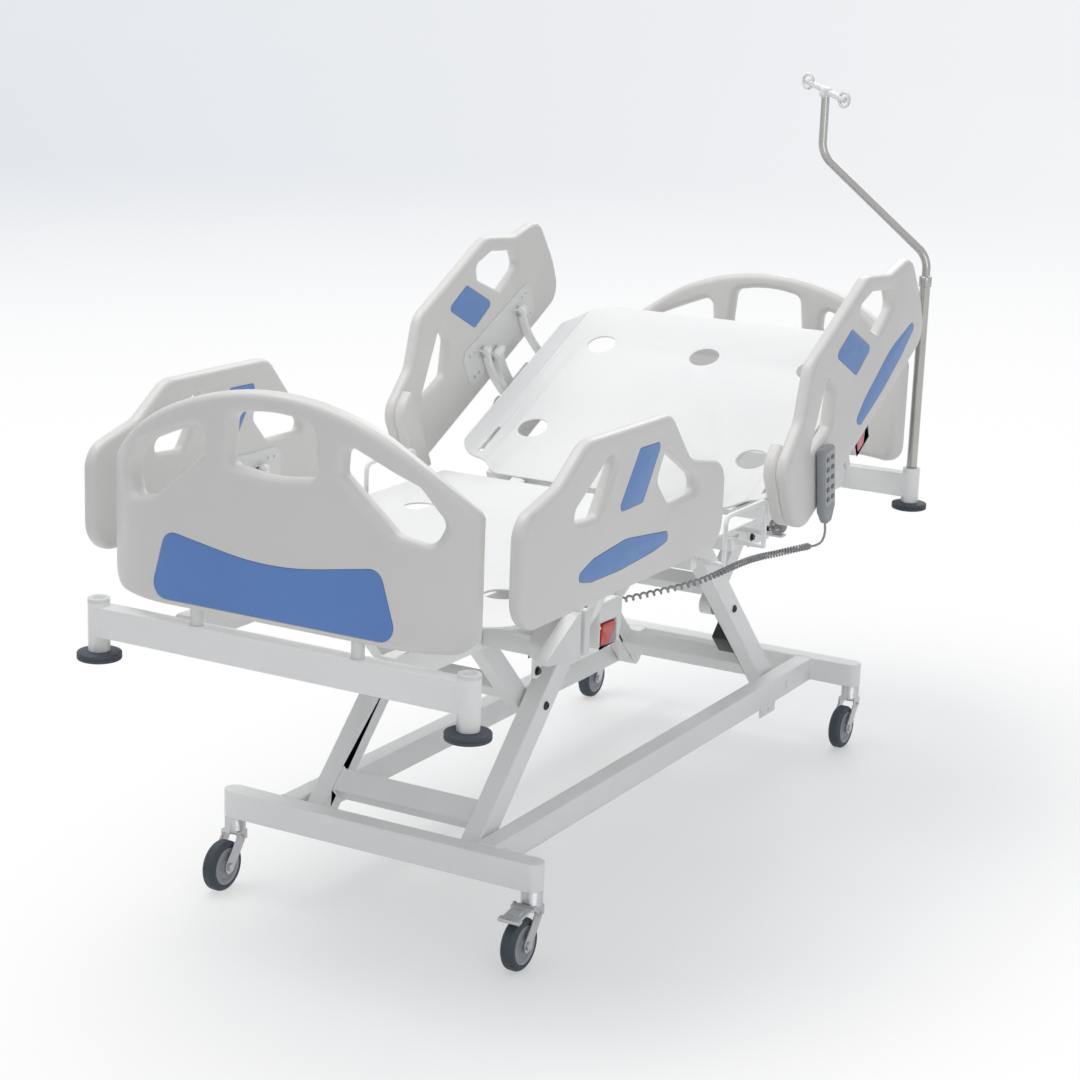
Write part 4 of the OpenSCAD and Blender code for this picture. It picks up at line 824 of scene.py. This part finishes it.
def make_plate(body, x0, place_rail, out):
    """The inner mounting plate of a panel with its screws, and the lugs that the arms turn on."""
    hinge = x0 - 16
    plate = soft([[-150, 50, 12], [-165, 66, 12], [-165, 124, 12], [-150, 140, 12], [150, 140, 12],
                  [165, 124, 12], [165, 66, 12], [150, 50, 12]], 6)
    lugs = [moved(slab(plate, [], 5, 1.4, 3, shift(0, 0, -(RAIL_T / 2 + 1.5))), out)]
    eye = [[0, -4, 0], [10, -4, 1], [10, 4, 1], [0, 4, 0]]
    for y, half, z in LUGS:
        for c in (y - half - 4.5, y + half + 4.5):
            lugs.append(block((hinge, c - 4, z - 10), (x0 + 1, c + 4, z + 10), 1.5, 2, place_rail))
            lugs.append(lathe(eye, 2, 32, place_rail @ turned((0, 1, 0), (hinge, c, z))))
    place(merge(*lugs), body + "_plate", "cover", body)
    screws = [moved(button_bolt((-1, 0, 0), (x0 - 3.6, y, z), 4.2, 2.2), place_rail)
              for y in (-140, -120, 120, 140) for z in (66, 122)]
    for y, half, z in LUGS:
        end = half + 11
        pin = [[0, -end, 0], [5, -end, 1], [5, end, 1], [0, end, 0]]
        screws.append(lathe(pin, 2, 24, place_rail @ turned((0, 1, 0), (hinge, y, z))))
    place(merge(*screws), body + "_screws", "zinc", body)


def make_rim(body, shape, matrix):
    """The thicker edge at the head end of a head rail: the panel's own outline, cut off."""
    rim = slab(soft(shape["outline"], 12), [], 30, 9, 5)
    geometry = rim.verts[:] + rim.edges[:] + rim.faces[:]
    cut_at = bmesh.ops.bisect_plane(rim, geom=geometry, plane_co=(-0.410, 0, 0), plane_no=(1, 0, 0),
                                    clear_outer=True)
    open_edges = [e for e in cut_at["geom_cut"] if isinstance(e, bmesh.types.BMEdge)]
    bmesh.ops.holes_fill(rim, edges=open_edges)
    place(moved(rim, matrix), body + "_rim", "board", body)


# ---------------------------------------------------------------- handset, cords and pole

# Routes in millimetres, the same as the solids follow
HANDSET_ROUTE = [[501, 245, 690], [501, 247, 668], [493, 252, 648], [474, 263, 634], [440, 290, 620],
                 [392, 268, 604], [345, 205, 592], [322, 20, 583], [276, -110, 578],
                 [243, -200, 576], [232, -255, 575], [232, -279.4, 575]]
COIL_C = (0.0, 630.0, AXIS_Z + 26 + 0.3 + 13)
COIL_R = 44.0
LEAD_D = 8.0
GLAND = (44.3, 705.0, AXIS_Z + 7)
PLUG = (372.0, 330.0, 655.0)


def curly(route, start, end, radius, pitch_tight, pitch_open):
    """Points of a cord that is straight, then curls round the route, tight first and stretched later."""
    line = spline(route, 40)
    total = [0.0]
    for a, b in zip(line, line[1:]):
        total.append(total[-1] + (b - a).length)
    length = total[-1]

    def at(d):
        i = max(0, min(len(total) - 2, next((k for k, v in enumerate(total) if v > d), len(total) - 1) - 1))
        f = (d - total[i]) / (total[i + 1] - total[i])
        return line[i].lerp(line[i + 1], f), (line[i + 1] - line[i]).normalized()

    points, d, angle, side = [], 0.0, 0.0, None
    steps, run_in, straight_step = 16, 14, 3.0
    while d < length:
        p, t = at(d)
        side = t.orthogonal() if side is None else side - t * side.dot(t)
        side.normalize()
        ramp_in = max(0.0, min(1.0, (d - start) / run_in))
        ramp_out = max(0.0, min(1.0, (length - end - d) / run_in))
        swell = min(ramp_in, ramp_out)
        far = max(0.0, min(1.0, (d - length * 0.30) / (length * 0.28)))
        pitch = pitch_tight + (pitch_open - pitch_tight) * far
        r = radius * (1 - 0.12 * far) * swell
        points.append(p + r * (cos(angle) * side + sin(angle) * t.cross(side)))
        if swell > 0:
            angle += 2 * pi / steps
            d += pitch / steps
        else:
            d += straight_step
    points.append(line[-1])
    return points


def make_cords():
    """The handset's curled cord, and the mains lead with its coil, strap, plug and strain reliefs."""
    settings = bpy.context.scene.bed_settings
    strand = settings.handset_strand
    points = curly(HANDSET_ROUTE, 95, 25, settings.curl_radius / MM, 6.2, 19.0)
    path = [p * MM for p in points][::-1]
    cord = place(tube(path, strand / 2, 8), "handset_cord_dressed", "cord", None,
                 ("handset_cord",), 60)
    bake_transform(cord)
    path = [p * MM for p in lead_points()]
    cord = place(tube(path, LEAD_D / 2 * MM, 10), "mains_lead_dressed", "cord",
                 "upper_frame", ("mains_lead", "mains_coil"), 60)
    plug = make_plug()
    relief = lathe([[4.15, 0, 0], [9.4, 0, 0.5], [9.4, 7, 1], [7.6, 8, 0.5], [6.6, 14, 1], [4.6, 32, 0.3],
                    [4.15, 32, 0]], 3, 28)
    place(moved(relief, turned((1, 0, 0), (30, 705, AXIS_Z + 7))), "mains_strain_relief", "black",
          "upper_frame")
    relief = lathe([[2.7, 0, 0], [6.5, 0, 0.5], [6.5, 4, 1], [5, 5, 0.5], [3.2, 20, 0.3],
                    [2.7, 20, 0]], 3, 24)
    place(moved(relief, turned((0, 0.93, 0), (232, -281, 575))), "handset_strain_relief", "black",
          "upper_frame")
    place(coil_strap(), "coil_strap", "black", "upper_frame")


def coil_strap():
    """Hook-and-loop band round the coil's turns."""
    angle = radians(170)
    middle = Vector((COIL_C[0] + COIL_R * cos(angle), COIL_C[1] + COIL_R * sin(angle), COIL_C[2]))
    band = lathe([[12.5, -8, 0.1], [13.0, -8, 0.2], [13.0, 8, 0.2], [12.5, 8, 0.1]], 2, 36)
    return moved(band, turned((-sin(angle), cos(angle), 0), middle))


def lead_points():
    """Centre line of the mains lead, in millimetres: gland, wound coil, then over the frame to the plug.

    The turns go round the coil six abreast, each a sixth of a circle on from the last.
    """
    wind, turns, steps, start = 8.4, 5.78, 40, radians(-60)
    coil = []
    for i in range(int(turns * steps) + 1):
        t = i / steps
        angle, roll = start - 2 * pi * t, radians(-20 + 60 * t)
        r = COIL_R + wind * cos(roll)
        coil.append(Vector(COIL_C) + Vector((r * cos(angle), r * sin(angle), wind * sin(roll))))
    first = spline([GLAND, (66, 705, 632.5), (87, 695, 637), (96, 675, 643), (95, 652, 648), (86, 626, 653),
                    (68, 603, 658), (47, 590, 660.5), tuple(coil[0])], 6)
    last = spline([tuple(coil[-1]), (57, 627, 664), (60, 605, 669.5), (66, 585, 671), (82, 566, 668),
                   (110, 555, 662), (150, 549, 657.5), (200, 538, 657.5), (246, 516, 658),
                   (300, 462, 661.5), (336, 412, 671), (358, 376, 676), (370, 350, 665), PLUG], 6)
    return first[:-1] + coil + last[1:]


def make_plug():
    """A moulded mains plug with a ribbed strain relief and three pins."""
    def on_plug(across, back, up):
        """Matrix that points a lathe's Z out of the plug's face."""
        return turned((0, -1, 0), (PLUG[0] + across, PLUG[1] - back, PLUG[2] + up))

    shell = lathe([[0, 0, 0], [4.6, 0, 0.5], [6.4, 4, 1], [7.4, 12, 2], [13.5, 18, 4], [18.4, 26, 4],
                   [18.6, 38, 2.5], [16, 40, 1], [0, 40, 0]], 4, 40, on_plug(0, 0.2, 0))
    rib = [[4, 0, 0], [6.6, 0.4, 0.3], [6.6, 1.6, 0.3], [4, 2, 0]]
    ribs = [lathe(rib, 2, 24, on_plug(0, 2 + 3.2 * k, 0)) for k in range(3)]
    pin = [[0, 0, 0], [2.3, 0, 0], [2.3, 19, 1], [0, 20.6, 0]]
    pins = [paint(lathe(pin, 3, 18, on_plug(x, 40, z)), 1) for x, z in ((-7, -3), (7, -3), (0, 8))]
    plug = merge(paint(merge(shell, *ribs), 0), *pins)
    return place(plug, "mains_plug_dressed", ["cord", "zinc"], "upper_frame",
                 ("mains_plug",), 40)


def make_handset():
    """Handset with a waisted shell, a keypad field and ten keys, hooked on the head-end rail."""
    matrix = shift(490, 232, 776) @ Matrix.Rotation(radians(9), 4, "X")
    up = matrix @ STAND
    outline = soft([[-31, -54, 16], [-31, 84, 12], [31, 84, 12], [31, -54, 16], [11, -84, 7],
                    [-11, -84, 7]], 8)
    shell = slab(outline, [], 19, 6, 5, up @ shift(0, 0, 12.5))
    hook = block((0.2, -13, 26), (4.4, 13, 62), 1.2, 2, matrix)
    place(merge(shell, hook), "handset_dressed", "handset", "rail_panel_hr",
          ("handset",), 35)
    field = soft([[-25, -42, 8], [-25, 76, 8], [25, 76, 8], [25, -42, 8]], 6)
    parts = [paint(slab(field, [], 1.4, 0.5, 2, up @ shift(0, 0, 22.1)), 0)]
    for y in (-12, 12):
        for i in range(5):
            z = 84 - 24 - i * 22
            oval = soft([[y - 7.5, z - 5, 4.5], [y - 7.5, z + 5, 4.5], [y + 7.5, z + 5, 4.5],
                         [y + 7.5, z - 5, 4.5]], 5)
            parts.append(paint(slab(oval, [], 1.6, 0.6, 2, up @ shift(0, 0, 23.2)), 1))
    place(merge(*parts), "handset_keypad_dressed", ["keypad", "key"], "rail_panel_hr",
          ("handset_keypad",), 35)


def make_pole():
    """Two-part infusion pole with its collar and the double hook bar on top."""
    x, y = SOCKET_X, BEAM_Y
    lower = lathe([[10.15, 602, 0], [10.15, 1124.5, 0.5], [12, 1125, 0.6], [15, 1123, 1.2], [15, 1101, 1.2],
                   [12.5, 1098, 0.5], [12.5, 591, 1], [0, 591, 0]], 3, 48)
    place(moved(lower, shift(x, y, 0)), "iv_pole_lower_dressed", "pole",
          "iv_pole_lower", ("iv_pole_lower",), 35)
    bends = ((x, y, 826), (x, y, 1170), (x - 283, y, 1390), (x - 283, y, 1532))
    line = fillet([Vector(p) * MM for p in bends], 0.06, 12)
    upper = tube(line, 0.00995, 32)
    place(upper, "iv_pole_upper_dressed", "pole", "iv_pole_upper",
          ("iv_pole_upper",), 35)
    top = shift(x - 283, y, 1540) @ Matrix.Rotation(radians(-22), 4, "Z")
    top = top @ Matrix.Rotation(radians(16), 4, "Y")
    cap = [[0, -16, 0], [12, -16, 1], [14, -10, 2], [14, 4, 3], [10, 8, 2], [0, 8, 0]]
    parts = [lathe(cap, 3, 40, top)]
    for side in (-1, 1):
        parts.append(block((2 * side, -6.5, -7), (60 * side, 6.5, 5), 2.5, 3, top))
        ring = tube([(side * 0.064 + 0.0165 * cos(2 * pi * k / 40), 0, 0.0165 * sin(2 * pi * k / 40))
                     for k in range(40)], 0.0038, 12, closed=True)
        parts.append(moved(ring, top))
        knob = lathe([[0, -6.5, 0], [7.5, -6.5, 2], [8.6, 0, 2], [7.5, 6.5, 2], [0, 6.5, 0]], 3, 28)
        parts.append(moved(knob, top @ turned((1, 0, 0), (side * 62, 0, 0))))
    place(merge(*parts), "iv_pole_hooks", "white", "iv_pole_upper")


# ---------------------------------------------------------------- studio

def make_studio():
    """Camera, floor, pale backdrop and soft lights."""
    scene = bpy.context.scene
    scene.view_settings.view_transform = "Standard"
    yaw, pitch, roll = radians(29.14), radians(14.0), radians(-2.03)
    forward = Vector((-sin(yaw) * cos(pitch), cos(yaw) * cos(pitch), -sin(pitch)))
    right = Vector((cos(yaw), sin(yaw), 0))
    down = forward.cross(right)
    x_axis = cos(roll) * right + sin(roll) * down
    y_axis = -(-sin(roll) * right + cos(roll) * down)
    camera = bpy.data.objects.new("camera", bpy.data.cameras.new("camera"))
    scene.collection.objects.link(camera)
    camera.data.sensor_width = 36
    camera.data.lens = 78.93
    camera.data.clip_end = 100
    basis = Matrix((x_axis, y_axis, -forward)).transposed().to_4x4()
    basis.translation = Vector((2.3414, -4.2856, 1.8419))
    camera.matrix_world = basis
    scene.camera = camera
    floor = bmesh.new()
    bmesh.ops.create_grid(floor, x_segments=24, y_segments=24, size=30)
    floor_mesh = bpy.data.meshes.new("studio_floor")
    floor.to_mesh(floor_mesh)
    floor.free()
    ground = bpy.data.objects.new("studio_floor", floor_mesh)
    scene.collection.objects.link(ground)
    floor_mesh.materials.append(stage_material())
    world = bpy.data.worlds.get("studio") or bpy.data.worlds.new("studio")
    scene.world = world
    world.use_nodes = True
    tree = world.node_tree
    tree.nodes.clear()
    back = add(tree, "Background", {0: painted_backdrop_shade(tree, add(tree, "TexCoord").outputs["Generated"])})
    glow = add(tree, "Background", {0: (0.86, 0.89, 0.94, 1), 1: 0.50})
    mixer = add(tree, "MixShader", {0: seen_ray(tree), 1: glow.outputs[0], 2: back.outputs[0]})
    add(tree, "OutputWorld", {0: mixer.outputs[0]})
    for name, spot, aim, size, power, tint in (
            ("key", (-1.6, -0.6, 4.9), (0.1, 0.2, 0.5), 3.2, 112, (1.0, 0.99, 0.975)),
            ("fill", (4.6, -3.4, 2.6), (0, 0, 0.6), 3.6, 42, (0.96, 0.98, 1.0)),
            ("back", (-0.6, 4.6, 4.4), (0, 0, 0.6), 3.2, 80, (1.0, 1.0, 1.0))):
        light = bpy.data.lights.new(name, "AREA")
        light.size = size
        light.energy = power
        light.color = tint
        lamp = bpy.data.objects.new(name, light)
        scene.collection.objects.link(lamp)
        lamp.location = spot
        lamp.rotation_euler = (Vector(aim) - Vector(spot)).to_track_quat("-Z", "Y").to_euler()


def seen_ray(tree):
    """1 for the rays that show the background: the camera's, reflections and see-through."""
    path = add(tree, "LightPath").outputs
    value = path["Is Camera Ray"]
    for name in ("Is Glossy Ray", "Is Transmission Ray"):
        value = add(tree, "Math", {0: value, 1: path[name]}, operation="MAXIMUM").outputs[0]
    return value


def painted_backdrop_shade(tree, place_in_room):
    """Painted shade on the backdrop, by the way one looks from the bed: darker, cool grey, on the left and
    paler on the right.
    """
    way = add(tree, "VectorMath", {0: place_in_room}, operation="NORMALIZE")
    split = add(tree, "SeparateXYZ", {0: way.outputs[0]})
    across = add(tree, "MapRange", {0: split.outputs[0], 1: -0.75, 2: -0.20})
    # painted shade: the left side of the backdrop is darker than the right
    left, right = (0.765, 0.79, 0.83, 1), (0.90, 0.91, 0.925, 1)
    return add(tree, "Mix", {0: across.outputs[0], 6: left, 7: right}, data_type="RGBA").outputs[2]


def stage_material():
    """Pale floor that takes soft shadows. Painted light: for camera and reflection rays it glows, white
    around the bed and tinted with the backdrop's painted shade far away, so it is brighter than the lamps
    make it and its shadows fade out away from the bed.
    """
    material, tree = nodes_of("studio_floor")
    spot = add(tree, "TexCoord").outputs["Object"]

    def away(scale, near, far, shift=(0, 0, 0), least=0.0):
        """From least near the bed to 1 far from it."""
        shrink = add(tree, "VectorMath", {0: spot, 1: scale, 2: shift}, operation="MULTIPLY_ADD")
        distance = add(tree, "VectorMath", {0: shrink.outputs[0]}, operation="LENGTH")
        return add(tree, "MapRange", {0: distance.outputs["Value"], 1: near, 2: far, 3: least},
                   interpolation_type="SMOOTHSTEP").outputs[0]

    plain = add(tree, "BsdfPrincipled", {"Base Color": (0.90, 0.90, 0.90, 1), "Roughness": 0.55,
                                         "Specular IOR Level": 0.25})
    tint = add(tree, "Mix", {0: away((1, 1, 1), 3.5, 16.0), 6: (1, 1, 1, 1), 7: painted_backdrop_shade(tree, spot)},
               data_type="RGBA")
    # painted light: the floor's own glow, white near the bed and tinted far away
    glow = add(tree, "Emission", {0: tint.outputs[2], 1: 1.0})
    # painted light: share of the glow, 0.42 near the bed and rising to all of it farther out, which brightens
    # the floor and washes out its cast shadows away from the bed
    painted_glow_share = away((1.6, 0.9, 1), 0.85, 1.95, (-0.35, -0.15, 0), 0.42)
    painted_glow_seen = add(tree, "Math", {0: painted_glow_share, 1: seen_ray(tree)}, operation="MULTIPLY")
    mixer = add(tree, "MixShader", {0: painted_glow_seen.outputs[0], 1: plain.outputs[0], 2: glow.outputs[0]})
    add(tree, "OutputMaterial", {0: mixer.outputs[0]})
    return material


# ---------------------------------------------------------------- add-on

class BedSettings(bpy.types.PropertyGroup):
    """Sizes and colours of the dressed bed."""
    tube_edge: FloatProperty(name="Tube edge", description="Rolled edge of the frame's square tubes",
                             default=0.004, min=0.0, max=0.008, unit="LENGTH")
    board_edge: FloatProperty(name="Board edge", description="Rolled edge of the end boards", default=0.015,
                              min=0.004, max=0.018, unit="LENGTH")
    rail_edge: FloatProperty(name="Rail edge", description="Rolled edge of the side rails", default=0.011,
                             min=0.004, max=0.014, unit="LENGTH")
    handset_strand: FloatProperty(name="Handset cord", description="Thickness of the handset cord's strand",
                                  default=0.005, min=0.004, max=0.006, unit="LENGTH")
    curl_radius: FloatProperty(name="Curl radius",
                               description="From the middle of the curled cord to its strand",
                               default=0.0055, min=0.004, max=0.007, unit="LENGTH")
    inlay_colour: FloatVectorProperty(name="Board inlay", description="Colour of the end boards' panels",
                                      default=(0.118, 0.255, 0.60), min=0, max=1, subtype="COLOR")
    rail_colour: FloatVectorProperty(name="Rail inlay", description="Colour of the side rails' inlays",
                                     default=(0.140, 0.278, 0.60), min=0, max=1, subtype="COLOR")
    shell_colour: FloatVectorProperty(name="Shells", description="Colour of the end boards and side rails",
                                      default=(0.74, 0.725, 0.70), min=0, max=1, subtype="COLOR")
    paint_colour: FloatVectorProperty(name="Frame paint", description="Colour of the powder-coated steel",
                                      default=(0.90, 0.90, 0.885), min=0, max=1, subtype="COLOR")


class Group:
    """What every operator shares: it builds its group of pieces."""

    def execute(self, context):
        self.build()
        return {"FINISHED"}


class BED_OT_studio(Group, bpy.types.Operator):
    """Camera, floor, backdrop and lights"""
    bl_idname = "bed.studio"
    bl_label = "Make the studio"
    build = staticmethod(make_studio)


class BED_OT_cords(Group, bpy.types.Operator):
    """Handset cord, mains lead and plug"""
    bl_idname = "bed.cords"
    bl_label = "Make the cords"
    build = staticmethod(make_cords)


class BED_OT_base(Group, bpy.types.Operator):
    """Base frame, castors and brakes"""
    bl_idname = "bed.base"
    bl_label = "Make the base"
    build = staticmethod(make_base)


class BED_OT_lift(Group, bpy.types.Operator):
    """Legs, links, carriages and bolts"""
    bl_idname = "bed.lift"
    bl_label = "Make the lift"
    build = staticmethod(make_lift)


class BED_OT_upper_frame(Group, bpy.types.Operator):
    """Members, beams, discs and actuators"""
    bl_idname = "bed.upper_frame"
    bl_label = "Make the upper frame"
    build = staticmethod(make_upper_frame)


class BED_OT_platform(Group, bpy.types.Operator):
    """Backrest and leg sections"""
    bl_idname = "bed.platform"
    bl_label = "Make the platform"
    build = staticmethod(make_platform)


class BED_OT_boards(Group, bpy.types.Operator):
    """Footboard and headboard"""
    bl_idname = "bed.boards"
    bl_label = "Make the end boards"
    build = staticmethod(make_boards)


class BED_OT_rails(Group, bpy.types.Operator):
    """Side rails, arms and releases"""
    bl_idname = "bed.rails"
    bl_label = "Make the side rails"
    build = staticmethod(make_rails)


class BED_OT_handset(Group, bpy.types.Operator):
    """Handset and its keys"""
    bl_idname = "bed.handset"
    bl_label = "Make the handset"
    build = staticmethod(make_handset)


class BED_OT_pole(Group, bpy.types.Operator):
    """Infusion pole and its hooks"""
    bl_idname = "bed.pole"
    bl_label = "Make the infusion pole"
    build = staticmethod(make_pole)


GROUPS = (BED_OT_studio, BED_OT_handset, BED_OT_cords, BED_OT_base, BED_OT_lift, BED_OT_upper_frame,
          BED_OT_platform, BED_OT_boards, BED_OT_rails, BED_OT_pole)


class BED_PT_panel(bpy.types.Panel):
    """Lists the groups of pieces and the settings"""
    bl_idname = "BED_PT_panel"
    bl_label = "Hospital bed"
    bl_space_type = "VIEW_3D"
    bl_region_type = "UI"
    bl_category = "Bed"

    def draw(self, context):
        for name in BedSettings.__annotations__:
            self.layout.prop(context.scene.bed_settings, name)
        for group in GROUPS:
            self.layout.operator(group.bl_idname)


CLASSES = (BedSettings, *GROUPS, BED_PT_panel)


def register():
    """Register the classes and the scene's settings."""
    for each in CLASSES:
        bpy.utils.register_class(each)
    bpy.types.Scene.bed_settings = bpy.props.PointerProperty(type=BedSettings)


def unregister():
    """Undo register()."""
    del bpy.types.Scene.bed_settings
    for each in reversed(CLASSES):
        bpy.utils.unregister_class(each)


MATERIALS = {}


def main():
    """Register the add-on, make the finishes and build every group."""
    register()
    MATERIALS.update(make_materials(bpy.context.scene.bed_settings))
    for group in GROUPS:
        getattr(bpy.ops.bed, group.bl_idname.split(".")[1])()
    bpy.context.view_layer.update()


if __name__ == "__main__":
    main()
